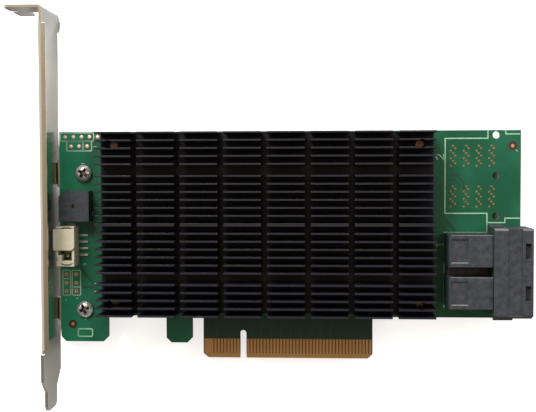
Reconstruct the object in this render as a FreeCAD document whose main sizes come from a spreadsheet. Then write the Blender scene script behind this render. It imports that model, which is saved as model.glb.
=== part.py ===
import FreeCAD, Part
import os
import Sketcher
from FreeCAD import Vector

# Storage controller card, in millimetres.
# The frame: X runs from the bracket to the drive sockets, Y runs up from the slot to the
# card's top edge, and Z rises from the component side.  The origin is where the centre line of
# the key notch meets the lower edge of the edge connector, at half the board's thickness.

doc = FreeCAD.newDocument("controller_card")

# Driving dimensions
SIZES = (
    ("board_thickness", 1.57, "bare board"),
    ("board_left", 56.15, "key notch to the end beside the bracket"),
    ("board_bottom", 12.75, "lower edge of the edge connector to the board's lower edge"),
    ("board_above_holes", 1.5, "board's top edge above its highest peg hole"),
    ("leg_width", 14.65, "foot of the board beside the bracket"),
    ("leg_bottom", 4.7, "height of that foot above the edge connector's lower edge"),
    ("leg_chamfer", 1.5, "corners of that foot"),
    ("hook_from_tongue", 3.425, "short end of the edge connector to the retention hook"),
    ("hook_width", 7.95, "retention hook along the card"),
    ("hook_bottom", 4.55, "height of the hook above the edge connector's lower edge"),
    ("hook_chamfer", 1.5, "corners of the hook"),
    ("tongue_chamfer", 1.4, "corners of the edge connector"),
    ("bevel_height", 1.5, "bevel along the edge connector"),
    ("bevel_depth", 0.45, "bevel into each face of the board"),
    ("key_width", 1.9, "key notch"),
    ("key_depth", 8.5, "key notch, with its round end"),
    ("contact_pitch", 1.0, "one contact to the next"),
    ("contact_width", 0.7, "gold of one contact"),
    ("contact_above_bevel", 0.05, "lower end of the gold, above the bevel"),
    ("contact_height", 4.3, "gold of one contact"),
    ("contact_thickness", 0.05, "gold and copper together"),
    ("contact_from_key", 0.2, "side of the key notch to the first contact's side"),
    ("contact_edge", 0.3, "outermost contact to the end of the edge connector"),
    ("contacts_short_side", 11, "contacts between the key notch and the short end"),
    ("contacts_long_side", 38, "contacts between the key notch and the long end"),
    ("contacts_joined", 3, "supply contacts at the short end that are one wide pad"),
    ("sheet", 0.86, "thickness of the bracket's sheet steel"),
    ("bracket_gap", 1.16, "board's end to the bracket's inner face"),
    ("bracket_top", 105.43, "upper face of the bracket's screw tab"),
    ("bracket_bottom", 14.6, "bracket's tip below the edge connector's lower edge"),
    ("bracket_width", 18.42, "bracket across the card"),
    ("bracket_behind_ears", 1.03, "bracket's rear edge beyond its ears"),
    ("bend_radius", 0.5, "inside radius of each bend"),
    ("bend_margin", 0.1, "slots and steps in the sheet clear its bends by this"),
    ("lobe_radius", 2.75, "rounded lobe on the rear edge, near the top"),
    ("lobe_from_top", 3.2, "upper face of the tab to the middle of the lobe"),
    ("tab_length", 11.43, "screw tab, from the bracket's inner face"),
    ("tab_corner", 1.6, "rounded corners of the tab"),
    ("notch_width", 4.7, "screw notch in the tab"),
    ("notch_depth", 7.4, "screw notch, from the tab's rear edge"),
    ("notch_from_face", 4.6, "bracket's inner face to the middle of the screw notch"),
    ("notch_corner", 1.3, "rounded corners of the notch"),
    ("slit_length", 2.9, "slanting slit at the tab's free end"),
    ("slit_width", 2.4, "mouth of that slit"),
    ("slit_from_edge", 7.2, "tab's rear edge to the mouth of the slit"),
    ("flange_reach", 2.4, "stiffening flange, from the bracket's outer face"),
    ("flange_bottom", 4.4, "lower end of the flange above the edge connector's lower edge"),
    ("flange_from_top", 5.53, "upper face of the tab to the flange's upper end"),
    ("flange_relief", 1.2, "slot cut beside the lower end of the flange"),
    ("foot_from_rear", 4.5, "rear edge of the bracket to the rear edge of its lower end"),
    ("foot_from_front", 3.73, "front edge of the bracket to the front edge of its lower end"),
    ("foot_length", 6.0, "straight stretch of the lower end"),
    ("foot_corner", 2.2, "rounded corners of the lower end"),
    ("ear_height", 6.7, "bracket's ears that carry the board"),
    ("ear_past_screw", 3.85, "screw's middle to the ear's free end"),
    ("ear_relief", 0.9, "slot beside each ear"),
    ("ear_corner", 1.2, "rounded corners of the ears"),
    ("screw_from_face", 8.75, "bracket's inner face to its two screws"),
    ("screw_from_top", 12.6, "board's top edge to the upper bracket screw"),
    ("screw_lower", 14.75, "height of the lower bracket screw"),
    ("screw_diameter", 2.9, "bracket screw's shank"),
    ("screw_head_diameter", 4.9, "bracket screw's head"),
    ("screw_head_height", 1.9, "bracket screw's head"),
    ("screw_head_bevel", 0.7, "slope round the bracket screw's head"),
    ("screw_length", 4.6, "bracket screw under its head"),
    ("screw_clearance", 0.2, "board's hole over the screw, on the radius"),
    ("thread_clearance", 0.05, "tapped hole over the screw's shank, on the radius"),
    ("cross_length", 2.7, "arms of the cross recess"),
    ("cross_width", 0.75, "arms of the cross recess"),
    ("cross_depth", 1.1, "cross recess"),
    ("buzzer_to_sink", 3.65, "buzzer to the heat sink's left end"),
    ("sink_length", 99.15, "heat sink along the card"),
    ("sink_above_edge", 1.4, "board's lower edge to the heat sink's lower side"),
    ("sink_below_top", 0.45, "heat sink's upper side to the board's top edge"),
    ("sink_to_block", 3.65, "heat sink's right end to the contact blocks"),
    ("sink_base", 2.2, "solid base of the heat sink"),
    ("fin_rise", 8.55, "fin above the base"),
    ("fin_thickness", 0.5, "every fin but the middle one"),
    ("fin_pitch", 2.315, "one fin to the next in a group"),
    ("fins_inner", 6, "fins in each group beside the middle fin"),
    ("fins_outer", 5, "fins in each group at an edge"),
    ("middle_fin", 0.9, "thickness of the middle fin"),
    ("middle_pitch", 2.6, "middle fin to its neighbours"),
    ("cut_width", 1.75, "cross cuts through the fins"),
    ("cut_pitch", 12.67, "one cross cut to the next"),
    ("cuts", 7, "cross cuts"),
    ("cut_shy", 0.15, "cross cuts stop this far above the base"),
    ("boss_diameter", 5.2, "bosses that stand on the board"),
    ("sink_screw_inset_x", 4.1, "heat sink's ends to its screws"),
    ("sink_screw_inset_y", 3.75, "heat sink's sides to its screws"),
    ("sink_screw_diameter", 2.4, "heat sink screw's shank"),
    ("sink_screw_head", 4.4, "heat sink screw's head"),
    ("sink_screw_head_height", 1.3, "heat sink screw's head"),
    ("chip_side", 27.0, "controller chip's package"),
    ("chip_thickness", 1.1, "controller chip's package with its solder"),
    ("lid_side", 23.0, "metal lid on the chip"),
    ("lid_thickness", 0.7, "metal lid on the chip"),
    ("lid_corner", 1.5, "rounded corners of the lid"),
    ("pad_side", 22.0, "thermal pad between the lid and the heat sink"),
    ("pad_thickness", 0.45, "thermal pad, pressed"),
    ("memory_length", 5.3, "memory chip beside the controller"),
    ("memory_width", 5.3, "memory chip beside the controller"),
    ("memory_under_sink", 0.5, "memory chip's top below the heat sink"),
    ("memory_from_chip", 6.0, "controller chip to the memory chip"),
    ("lead_width", 0.42, "memory chip's leads"),
    ("lead_pitch", 1.27, "memory chip's leads"),
    ("leads_per_side", 4, "memory chip's leads"),
    ("lead_reach", 1.2, "leads outside the memory chip"),
    ("lead_knee", 0.48, "memory chip to the bend of its leads"),
    ("lead_thickness", 0.2, "leads and solder tabs"),
    ("crystal_length", 5.0, "clock crystal's can"),
    ("crystal_width", 3.2, "clock crystal's can"),
    ("crystal_rise", 0.9, "clock crystal's can"),
    ("crystal_corner", 0.64, "rounded corners of that can"),
    ("crystal_from_memory", 4.75, "memory chip to the clock crystal"),
    ("regulator_side", 5.0, "voltage regulators"),
    ("regulator_rise", 0.9, "voltage regulators"),
    ("regulator_from_coil", 2.5, "inductor to its regulator"),
    ("coil_side", 6.6, "power inductors"),
    ("coil_under_sink", 0.3, "inductors' tops below the heat sink"),
    ("coil_corner", 1.0, "cut corners of the inductors"),
    ("supply_pitch", 16.0, "one supply stage to the next"),
    ("supplies", 3, "supply stages"),
    ("supply_from_chip", 9.0, "controller chip to the middle of the inductors"),
    ("capacitor_length", 3.2, "ceramic capacitors"),
    ("capacitor_width", 1.6, "ceramic capacitors"),
    ("capacitor_rise", 1.3, "ceramic capacitors"),
    ("capacitor_gap", 1.28, "between the two capacitors of a stage"),
    ("capacitor_from_coil", 1.6, "inductor to its capacitors"),
    ("buzzer_side", 9.2, "buzzer's square case"),
    ("buzzer_rise", 5.0, "buzzer above the board"),
    ("buzzer_from_left", 0.9, "board's left end to the buzzer"),
    ("buzzer_from_screw", 5.3, "upper bracket screw's middle to the buzzer"),
    ("buzzer_chamfer", 1.7, "cut corner that marks the buzzer's first tab"),
    ("buzzer_wall", 0.75, "thinnest wall round the buzzer's chamber"),
    ("buzzer_roof", 0.8, "wall over the buzzer's chamber"),
    ("buzzer_floor", 0.8, "buzzer's base disc"),
    ("sound_hole", 1.3, "hole in the buzzer's roof"),
    ("diaphragm_thickness", 0.12, "buzzer's diaphragm"),
    ("diaphragm_slack", 0.1, "chamber over the diaphragm, on the diameter"),
    ("diaphragm_ledge", 0.5, "ring of the case that the diaphragm rests against"),
    ("air_gap", 0.8, "space above the diaphragm"),
    ("buzzer_coil_diameter", 4.6, "buzzer's coil"),
    ("running_gap", 0.3, "buzzer's coil below its diaphragm"),
    ("terminal_width", 1.3, "buzzer's solder tabs"),
    ("terminal_spacing", 4.6, "buzzer's solder tabs on one side, middle to middle"),
    ("terminal_reach", 0.12, "solder tabs outside the buzzer's case"),
    ("header_width", 5.4, "header along the card"),
    ("header_pin_room", 1.0, "outermost pins to the header's end walls"),
    ("header_rise", 6.4, "header above the board"),
    ("header_from_left", 0.5, "board's left end to the header"),
    ("header_front_wall", 0.7, "header's wall on the sockets' side"),
    ("header_rear_wall", 1.6, "header's wall on the bracket's side, near its ends"),
    ("header_thin_wall", 0.5, "that wall along the middle"),
    ("header_thin_from_end", 3.4, "header's ends to that thin stretch"),
    ("header_end_wall", 1.7, "header's walls at its ends"),
    ("header_floor", 1.6, "header's floor"),
    ("nick_width", 1.15, "upright nicks outside that wall"),
    ("nick_depth", 0.4, "those nicks, into the wall"),
    ("nick_from_end", 2.2, "header's ends to the middle of its nicks"),
    ("groove_length", 3.4, "bowed groove in the rim of each end wall"),
    ("groove_width", 0.35, "those grooves"),
    ("groove_bow", 0.45, "middle of a groove beyond its ends"),
    ("groove_from_end", 0.25, "header's end to its groove"),
    ("groove_depth", 0.9, "those grooves, from the rim"),
    ("pin_pitch", 2.0, "header's pins"),
    ("pins", 4, "header's pins"),
    ("pin_side", 0.6, "header's square pins"),
    ("pin_below_cap", 0.1, "tips of the pins below the cap's plug"),
    ("pin_reach", 2.7, "solder leads outside the header"),
    ("pin_lead_thickness", 0.45, "solder leads of the pins"),
    ("pin_clearance", 0.02, "round the pins in the header and the buzzer's base in its case"),
    ("anchor_width", 2.5, "solder anchors at the header's ends"),
    ("anchor_reach", 0.6, "anchors outside the header"),
    ("anchor_rise", 0.9, "anchors above the board"),
    ("anchor_to_buzzer", 0.8, "buzzer to the header's upper anchor"),
    ("cap_side", 6.45, "pick-up cap that sits on the header"),
    ("cap_thickness", 0.55, "pick-up cap's plate"),
    ("cap_corner", 0.9, "cut corner of the cap"),
    ("cap_overhang", 0.85, "cap beyond the header on the bracket's side"),
    ("cap_below_end", 0.75, "cap's upper edge below the header's upper end"),
    ("cap_plug_length", 4.6, "part of the cap inside the header"),
    ("cap_plug_depth", 1.1, "part of the cap inside the header"),
    ("cap_clearance", 0.1, "between that part and the header's walls"),
    ("socket_above_edge", 1.55, "board's lower edge to the frame of the drive sockets"),
    ("socket_front", 1.4, "socket frame beyond the board's end"),
    ("socket_depth", 11.2, "socket frame along the card"),
    ("port_floor", 1.3, "wall under each port"),
    ("port_roof", 1.5, "wall over each port"),
    ("port_side", 1.4, "wall beside the two ports"),
    ("port_web", 1.8, "wall between the two ports"),
    ("port_rear_wall", 1.8, "wall behind each port"),
    ("plug_gap_wide", 1.2, "beside the nose, where the plug's shell goes"),
    ("plug_gap_high", 1.9, "over and under the nose, where the plug's shell goes"),
    ("rib_front", 3.1, "front band of the frame"),
    ("rib_rear", 4.0, "rear band of the frame"),
    ("rib_step", 0.35, "middle band lies this far below the other two"),
    ("skirt", 0.55, "rear band is wider low down"),
    ("skirt_rise", 5.0, "top of that wider stretch above the board"),
    ("latch_width", 4.0, "latch recess over each port"),
    ("latch_length", 1.6, "latch recess along the card"),
    ("latch_from_front", 0.75, "front of the frame to its latch recesses"),
    ("latch_floor", 0.4, "wall left under a latch recess"),
    ("block_length", 12.8, "contact block behind each port"),
    ("block_width", 9.35, "contact block behind each port"),
    ("block_rise", 11.6, "contact block above the board"),
    ("block_chamfer", 0.6, "rear edge of the block's top"),
    ("recess_length", 4.75, "shallow recess in the block's top, along the card"),
    ("recess_width", 6.7, "that recess across the card"),
    ("recess_from_rear", 0.75, "rear of the block to its recess"),
    ("recess_depth", 0.35, "recess in the block's top"),
    ("nose_reach", 5.2, "block's nose past the frame's rear wall"),
    ("nose_clearance", 0.1, "round the nose in the frame's rear wall"),
    ("nose_lip", 2.05, "nose over and under its slot"),
    ("nose_cheek", 0.35, "nose beside its slot"),
    ("slot_height", 1.5, "slot for the plug's contact board"),
    ("slot_root", 0.385, "rear ends of the springs to the slot's bottom"),
    ("springs", 9, "contact springs on each wall of a slot"),
    ("spring_pitch", 0.75, "one spring to the next"),
    ("spring_width", 0.4, "one spring"),
    ("spring_thickness", 0.18, "one spring"),
    ("spring_length", 4.0, "one spring"),
    ("spring_tip", 0.215, "end of the nose to the springs' tips"),
    ("spring_margin", 0.45, "outermost spring to the slot's end"),
    ("peg_from_front", 7.25, "board's right end to the sockets' locating pegs"),
    ("peg_inset", 1.2, "side of the frame's skirt to the outer pegs' middle"),
    ("peg_diameter", 2.0, "locating pegs"),
    ("peg_clearance", 0.1, "board's hole over the peg, on the radius"),
    ("peg_length", 2.1, "locating pegs"),
    ("footprint_gap", 3.7, "last peg hole of the fitted sockets to the first free one"),
)
OVERCUT = 1  # cuts run this far past the faces that they open


class Size:
    """A length that carries its value and the formula that the document keeps."""

    def __init__(self, value, text):
        self.value = value
        self.text = text

    def __add__(self, other):
        other = as_size(other)
        return Size(self.value + other.value, "(%s + %s)" % (self.text, other.text))

    def __sub__(self, other):
        other = as_size(other)
        return Size(self.value - other.value, "(%s - %s)" % (self.text, other.text))

    def __mul__(self, other):
        other = as_size(other)
        return Size(self.value * other.value, "(%s * %s)" % (self.text, other.text))

    def __truediv__(self, other):
        other = as_size(other)
        return Size(self.value / other.value, "(%s / %s)" % (self.text, other.text))

    def __neg__(self):
        return Size(-self.value, "(-1 * %s)" % self.text)


def as_size(number):
    if isinstance(number, Size):
        return number
    return Size(float(number), "%g" % number)


class Sizes:
    """The driving dimensions, each under its own name."""


sheet = doc.addObject("Spreadsheet::Sheet", "sizes")
size = Sizes()
for row, (name, number, note) in enumerate(SIZES, start=1):
    sheet.set("A%d" % row, name)
    sheet.set("B%d" % row, str(number))
    sheet.set("C%d" % row, note)
    sheet.setAlias("B%d" % row, name)
    setattr(size, name, Size(float(number), "sizes." + name))
doc.recompute()


# Helpers that draw with those dimensions
def bind(thing, prop, amount):
    thing.setExpression(prop, as_size(amount).text)


def origin_part(body, role):
    return [part for part in body.Origin.OriginFeatures if part.Role == role][0]


def new_body(label):
    body = doc.addObject("PartDesign::Body", label)
    body.Label = label
    body.AllowCompound = True
    return body


def new_sketch(body, name, plane="XY_Plane", lift=0):
    sketch = body.newObject("Sketcher::SketchObject", name)
    sketch.AttachmentSupport = [(origin_part(body, plane), "")]
    sketch.MapMode = "FlatFace"
    bind(sketch, "AttachmentOffset.Base.z", lift)
    return sketch


def hold_point(sketch, edge, end, across, up):
    for kind, amount in (("DistanceX", across), ("DistanceY", up)):
        rule = Sketcher.Constraint(kind, -1, 1, edge, end, amount.value)
        index = sketch.addConstraint(rule)
        sketch.setExpression("Constraints[%d]" % index, amount.text)


def draw_polygon(sketch, corners):
    corners = [(as_size(across), as_size(up)) for across, up in corners]
    first = sketch.GeometryCount
    count = len(corners)
    for here in range(count):
        (ax, ay), (bx, by) = corners[here], corners[(here + 1) % count]
        line = Part.LineSegment(Vector(ax.value, ay.value, 0), Vector(bx.value, by.value, 0))
        sketch.addGeometry(line, False)
    for here in range(count):
        following = first + (here + 1) % count
        sketch.addConstraint(Sketcher.Constraint("Coincident", first + here, 2, following, 1))
    for here, (across, up) in enumerate(corners):
        hold_point(sketch, first + here, 1, across, up)


def draw_rectangle(sketch, left, low, width, height):
    left, low = as_size(left), as_size(low)
    right, high = left + width, low + height
    draw_polygon(sketch, [(left, low), (right, low), (right, high), (left, high)])


def draw_centred(sketch, across, up, width, height):
    draw_rectangle(sketch, across - width / 2, up - height / 2, width, height)


def draw_circle(sketch, across, up, diameter):
    across, up, diameter = as_size(across), as_size(up), as_size(diameter)
    centre = Vector(across.value, up.value, 0)
    index = sketch.addGeometry(Part.Circle(centre, Vector(0, 0, 1), diameter.value / 2), False)
    hold_point(sketch, index, 3, across, up)
    rule = sketch.addConstraint(Sketcher.Constraint("Diameter", index, diameter.value))
    sketch.setExpression("Constraints[%d]" % rule, diameter.text)


def pad(body, sketch, length, both_ways=False, backwards=False):
    feature = body.newObject("PartDesign::Pad", sketch.Name + "_pad")
    feature.Profile = sketch
    bind(feature, "Length", length)
    if both_ways:
        feature.SideType = "Symmetric"
    feature.Reversed = backwards
    return feature


def pocket(body, sketch, depth=None, backwards=False):
    """Cuts against the sketch plane's normal; with no depth, through everything both ways."""
    feature = body.newObject("PartDesign::Pocket", sketch.Name + "_pocket")
    feature.Profile = sketch
    if depth is None:
        feature.SideType = "Symmetric"
        feature.Type = "ThroughAll"
    else:
        bind(feature, "Length", depth)
    feature.Reversed = backwards
    return feature


def repeat(body, features, axis, step, count, backwards=False):
    pattern = body.newObject("PartDesign::LinearPattern", features[0].Name + "_row")
    pattern.Originals = features
    pattern.Direction = (origin_part(body, axis), [""])
    pattern.Mode = "Spacing"
    bind(pattern, "Offset", step)
    bind(pattern, "Occurrences", count)
    pattern.Reversed = backwards
    body.Tip = pattern


def soften(body, kind, base, radius, wanted):
    """Rounds or bevels those edges of base whose middle and direction suit wanted."""
    doc.recompute()
    names = []
    for index, edge in enumerate(base.Shape.Edges, start=1):
        if edge.Length > 1e-6 and wanted(edge, edge.CenterOfMass):
            names.append("Edge%d" % index)
    feature = body.newObject("PartDesign::" + kind, base.Name + "_" + kind.lower())
    feature.Base = (base, names)
    bind(feature, "Radius" if kind == "Fillet" else "Size", radius)
    body.Tip = feature
    return feature


def near(first, second):
    return abs(first - as_size(second).value) < 1e-4


def runs_along(edge, axis):
    box = edge.BoundBox
    spans = {"X": box.XLength, "Y": box.YLength, "Z": box.ZLength}
    along = spans.pop(axis)
    return along > 1e-4 and max(spans.values()) < 1e-4


# Levels of the board and of what stands between it and the heat sink
face = size.board_thickness / 2
rear_face = -face
sink_gap = size.chip_thickness + size.lid_thickness + size.pad_thickness
sink_underside = face + sink_gap

# The edge connector, worked out from its contacts
contact_first = size.key_width / 2 + size.contact_from_key + size.contact_width / 2


def tongue_reach(contacts):
    last = contact_first + size.contact_pitch * (contacts - 1)
    return last + size.contact_width / 2 + size.contact_edge


# The drive sockets, from a spring outwards: slot, nose, port, frame, pegs
slot_width = size.spring_pitch * (size.springs - 1) + size.spring_width + size.spring_margin * 2
slot_depth = size.spring_tip + size.spring_length + size.slot_root
nose_width = slot_width + size.nose_cheek * 2
nose_height = size.slot_height + size.nose_lip * 2
port_width = nose_width + size.plug_gap_wide * 2
port_height = nose_height + size.plug_gap_high * 2
port_pitch = port_width + size.port_web
port_middle_z = face + size.port_floor + port_height / 2
socket_rise = size.port_floor + port_height + size.port_roof
socket_width = port_width * 2 + size.port_web + size.port_side * 2
socket_middle = size.board_bottom + size.socket_above_edge + size.skirt + socket_width / 2
port_middles = (socket_middle + port_pitch / 2, socket_middle - port_pitch / 2)
peg_pitch = socket_width / 2 + size.skirt - size.peg_inset
free_socket_middle = socket_middle + peg_pitch * 2 + size.footprint_gap

# Heights on the board, from the sockets up to its top edge and down the bracket's side
board_top = free_socket_middle + peg_pitch + size.board_above_holes
screw_heights = (board_top - size.screw_from_top, size.screw_lower)
buzzer_middle_y = screw_heights[0] - size.buzzer_from_screw - size.buzzer_side / 2
anchor_high = buzzer_middle_y - size.buzzer_side / 2 - size.anchor_to_buzzer
well_length = size.pin_pitch * (size.pins - 1) + size.pin_side + size.header_pin_room * 2
header_length = well_length + size.header_end_wall * 2
header_middle_y = anchor_high - size.anchor_reach - header_length / 2
sink_low = size.board_bottom + size.sink_above_edge
sink_high = board_top - size.sink_below_top
sink_middle_y = (sink_low + sink_high) / 2

# Places along the card, from the bracket to the sockets
bracket_inner = -(size.board_left + size.bracket_gap)
bracket_outer = bracket_inner - size.sheet
bracket_rear = rear_face - size.sheet - size.bracket_behind_ears
bracket_front = bracket_rear + size.bracket_width
screw_x = bracket_inner + size.screw_from_face
buzzer_middle_x = -size.board_left + size.buzzer_from_left + size.buzzer_side / 2
sink_left = buzzer_middle_x + size.buzzer_side / 2 + size.buzzer_to_sink
sink_right = sink_left + size.sink_length
sink_middle_x = (sink_left + sink_right) / 2
block_rear = sink_right + size.sink_to_block
socket_rear = block_rear + size.block_length
socket_end = socket_rear + size.socket_depth
board_right = socket_end - size.socket_front
peg_x = board_right - size.peg_from_front

screw_spots = [(screw_x, height) for height in screw_heights]
sink_screw_spots = [(x, y)
                    for x in (sink_left + size.sink_screw_inset_x,
                              sink_right - size.sink_screw_inset_x)
                    for y in (sink_low + size.sink_screw_inset_y,
                              sink_high - size.sink_screw_inset_y)]


# The bare board, with the edge connector's tongue, the retention hook and the drilled holes
def make_board():
    body = new_body("circuit_board")
    left = -size.board_left
    leg_right = left + size.leg_width
    tongue_left = -tongue_reach(size.contacts_short_side)
    tongue_right = tongue_reach(size.contacts_long_side)
    hook_right = tongue_left - size.hook_from_tongue
    hook_left = hook_right - size.hook_width
    outline = new_sketch(body, "board_outline")
    draw_polygon(outline, [
        (left, board_top),
        (left, size.leg_bottom + size.leg_chamfer),
        (left + size.leg_chamfer, size.leg_bottom),
        (leg_right - size.leg_chamfer, size.leg_bottom),
        (leg_right, size.leg_bottom + size.leg_chamfer),
        (leg_right, size.board_bottom),
        (hook_left, size.board_bottom),
        (hook_left, size.hook_bottom + size.hook_chamfer),
        (hook_left + size.hook_chamfer, size.hook_bottom),
        (hook_right - size.hook_chamfer, size.hook_bottom),
        (hook_right, size.hook_bottom + size.hook_chamfer),
        (hook_right, size.board_bottom),
        (tongue_left, size.board_bottom),
        (tongue_left, size.tongue_chamfer),
        (tongue_left + size.tongue_chamfer, 0),
        (tongue_right - size.tongue_chamfer, 0),
        (tongue_right, size.tongue_chamfer),
        (tongue_right, size.board_bottom),
        (board_right, size.board_bottom),
        (board_right, board_top),
    ])
    pad(body, outline, size.board_thickness, both_ways=True)

    notch = new_sketch(body, "key_notch")
    notch_straight = size.key_depth - size.key_width / 2
    draw_rectangle(notch, -(size.key_width / 2), -OVERCUT,
                   size.key_width, notch_straight + OVERCUT)
    pocket(body, notch)
    notch_end = new_sketch(body, "key_notch_end")
    draw_circle(notch_end, 0, notch_straight, size.key_width)
    pocket(body, notch_end)

    bevel = new_sketch(body, "tongue_bevel", "YZ_Plane")
    for side in (1, -1):
        draw_polygon(bevel, [
            (-OVERCUT, face * side),
            (size.bevel_height, face * side),
            (0, (face - size.bevel_depth) * side),
            (-OVERCUT, (face - size.bevel_depth) * side),
        ])
    pocket(body, bevel)

    holes = new_sketch(body, "screw_holes")
    for x, y in screw_spots:
        draw_circle(holes, x, y, size.screw_diameter + size.screw_clearance * 2)
    for x, y in sink_screw_spots:
        draw_circle(holes, x, y, size.sink_screw_diameter + size.screw_clearance * 2)
    pocket(body, holes)

    peg_holes = new_sketch(body, "peg_holes")
    for middle in (socket_middle, free_socket_middle):
        for step in (-1, 0, 1):
            draw_circle(peg_holes, peg_x, middle + peg_pitch * step,
                        size.peg_diameter + size.peg_clearance * 2)
    pocket(body, peg_holes)


# Gold contacts of the edge connector, on one face of the board
def make_edge_contacts(label, level, joined, rearwards):
    body = new_body(label)
    half = size.contact_width / 2
    low = size.bevel_height + size.contact_above_bevel

    def contact(name, left, width):
        sketch = new_sketch(body, label + name, lift=level)
        draw_rectangle(sketch, left, low, width, size.contact_height)
        return pad(body, sketch, size.contact_thickness, backwards=rearwards)

    first = contact("_long_side", contact_first - half, size.contact_width)
    repeat(body, [first], "X_Axis", size.contact_pitch, size.contacts_long_side)
    first = contact("_short_side", -contact_first - half, size.contact_width)
    single = size.contacts_short_side - joined
    repeat(body, [first], "X_Axis", size.contact_pitch, single, backwards=True)
    if joined.value:
        wide = size.contact_pitch * (joined - 1) + size.contact_width
        end = contact_first + size.contact_pitch * (size.contacts_short_side - 1) + half
        contact("_supply", -end, wide)


# Folded steel bracket: plate with its lobe and narrow foot, screw tab, flange and two ears
def make_bracket():
    body = new_body("bracket")
    outside = size.bend_radius + size.sheet
    bend_room = outside + size.bend_margin
    tab_front = bracket_front - bend_room
    tab_end = bracket_inner - size.tab_length
    flange_top = size.bracket_top - size.flange_from_top
    foot_top = -size.bracket_bottom + size.foot_length
    foot_rear = bracket_rear + size.foot_from_rear
    foot_front = bracket_front - size.foot_from_front
    plate = new_sketch(body, "plate_outline", "YZ_Plane", bracket_outer)
    draw_polygon(plate, [
        (size.bracket_top, bracket_rear),
        (size.bracket_top, tab_front),
        (flange_top, tab_front),
        (flange_top, bracket_front),
        (foot_top + size.foot_from_front, bracket_front),
        (foot_top, foot_front),
        (-size.bracket_bottom, foot_front),
        (-size.bracket_bottom, foot_rear),
        (foot_top, foot_rear),
        (foot_top + size.foot_from_rear, bracket_rear),
    ])
    pad(body, plate, size.sheet)

    tab = new_sketch(body, "tab_outline", lift=bracket_rear)
    draw_rectangle(tab, tab_end, size.bracket_top - size.sheet, size.tab_length, size.sheet)
    pad(body, tab, tab_front - bracket_rear)

    flange = new_sketch(body, "flange_outline", lift=bracket_front - size.sheet)
    draw_rectangle(flange, bracket_outer, size.flange_bottom,
                   size.flange_reach, flange_top - size.flange_bottom)
    pad(body, flange, size.sheet)

    ear_back = rear_face - size.sheet
    ear_end = screw_x + size.ear_past_screw
    ears = new_sketch(body, "ear_outline", lift=ear_back)
    behind_ears = new_sketch(body, "behind_ears", lift=ear_back)
    beside_ears = new_sketch(body, "beside_ears", lift=ear_back + bend_room)
    for height in screw_heights:
        low = height - size.ear_height / 2
        high = height + size.ear_height / 2
        draw_rectangle(ears, bracket_outer, low, ear_end - bracket_outer, size.ear_height)
        draw_rectangle(behind_ears, bracket_outer - OVERCUT, low,
                       size.sheet + OVERCUT * 2, size.ear_height)
        for start in (low - size.ear_relief, high):
            draw_rectangle(beside_ears, bracket_outer - OVERCUT, start,
                           size.sheet + OVERCUT * 2, size.ear_relief)
    pad(body, ears, size.sheet)
    pocket(body, behind_ears, size.bracket_width)
    pocket(body, beside_ears, size.bracket_width)

    relief = new_sketch(body, "flange_relief", "YZ_Plane")
    draw_rectangle(relief, size.flange_bottom - size.flange_relief,
                   bracket_front - bend_room, size.flange_relief, bend_room + OVERCUT)
    pocket(body, relief)

    notch = new_sketch(body, "screw_notch", "XZ_Plane")
    notch_middle = bracket_inner - size.notch_from_face
    draw_rectangle(notch, notch_middle - size.notch_width / 2, bracket_rear - OVERCUT,
                   size.notch_width, size.notch_depth + OVERCUT)
    pocket(body, notch, size.bracket_top + OVERCUT)
    slit = new_sketch(body, "tab_slit", "XZ_Plane")
    slit_low = bracket_rear + size.slit_from_edge
    draw_polygon(slit, [
        (tab_end - OVERCUT, slit_low - OVERCUT),
        (tab_end + size.slit_length, slit_low + size.slit_length),
        (tab_end - OVERCUT, slit_low + size.slit_width),
    ])
    pocket(body, slit, size.bracket_top + OVERCUT)

    threads = new_sketch(body, "ear_threads")
    for x, y in screw_spots:
        draw_circle(threads, x, y, size.screw_diameter + size.thread_clearance * 2)
    tapped = pocket(body, threads)

    bends_out = soften(body, "Fillet", tapped, outside, lambda edge, middle:
                       (runs_along(edge, "Y") and near(middle.x, bracket_outer)
                        and near(middle.z, bracket_front)
                        and size.flange_bottom.value < middle.y < flange_top.value)
                       or (runs_along(edge, "Y") and near(middle.x, bracket_outer)
                           and near(middle.z, ear_back))
                       or (runs_along(edge, "Z") and near(middle.x, bracket_inner)
                           and near(middle.y, size.bracket_top)))
    bends_in = soften(body, "Fillet", bends_out, size.bend_radius, lambda edge, middle:
                      (runs_along(edge, "Y") and near(middle.x, bracket_inner)
                       and (near(middle.z, bracket_front - size.sheet)
                            or near(middle.z, rear_face)))
                      or (runs_along(edge, "Z") and near(middle.x, bracket_outer)
                          and near(middle.y, size.bracket_top - size.sheet)))
    ear_ends = soften(body, "Fillet", bends_in, size.ear_corner, lambda edge, middle:
                      runs_along(edge, "Z") and near(middle.x, ear_end))
    tab_corners = soften(body, "Fillet", ear_ends, size.tab_corner, lambda edge, middle:
                         runs_along(edge, "Y") and near(middle.x, tab_end)
                         and (near(middle.z, bracket_rear) or near(middle.z, tab_front)))
    notch_corners = soften(body, "Fillet", tab_corners, size.notch_corner, lambda edge, middle:
                           runs_along(edge, "Y")
                           and near(abs(middle.x - notch_middle.value), size.notch_width / 2)
                           and near(middle.z, bracket_rear + size.notch_depth))
    soften(body, "Fillet", notch_corners, size.foot_corner, lambda edge, middle:
           runs_along(edge, "X") and near(middle.y, -size.bracket_bottom))
    lobe = new_sketch(body, "lobe_outline", "YZ_Plane", bracket_outer)
    draw_circle(lobe, size.bracket_top - size.lobe_from_top, bracket_rear, size.lobe_radius * 2)
    pad(body, lobe, size.sheet)


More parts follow.
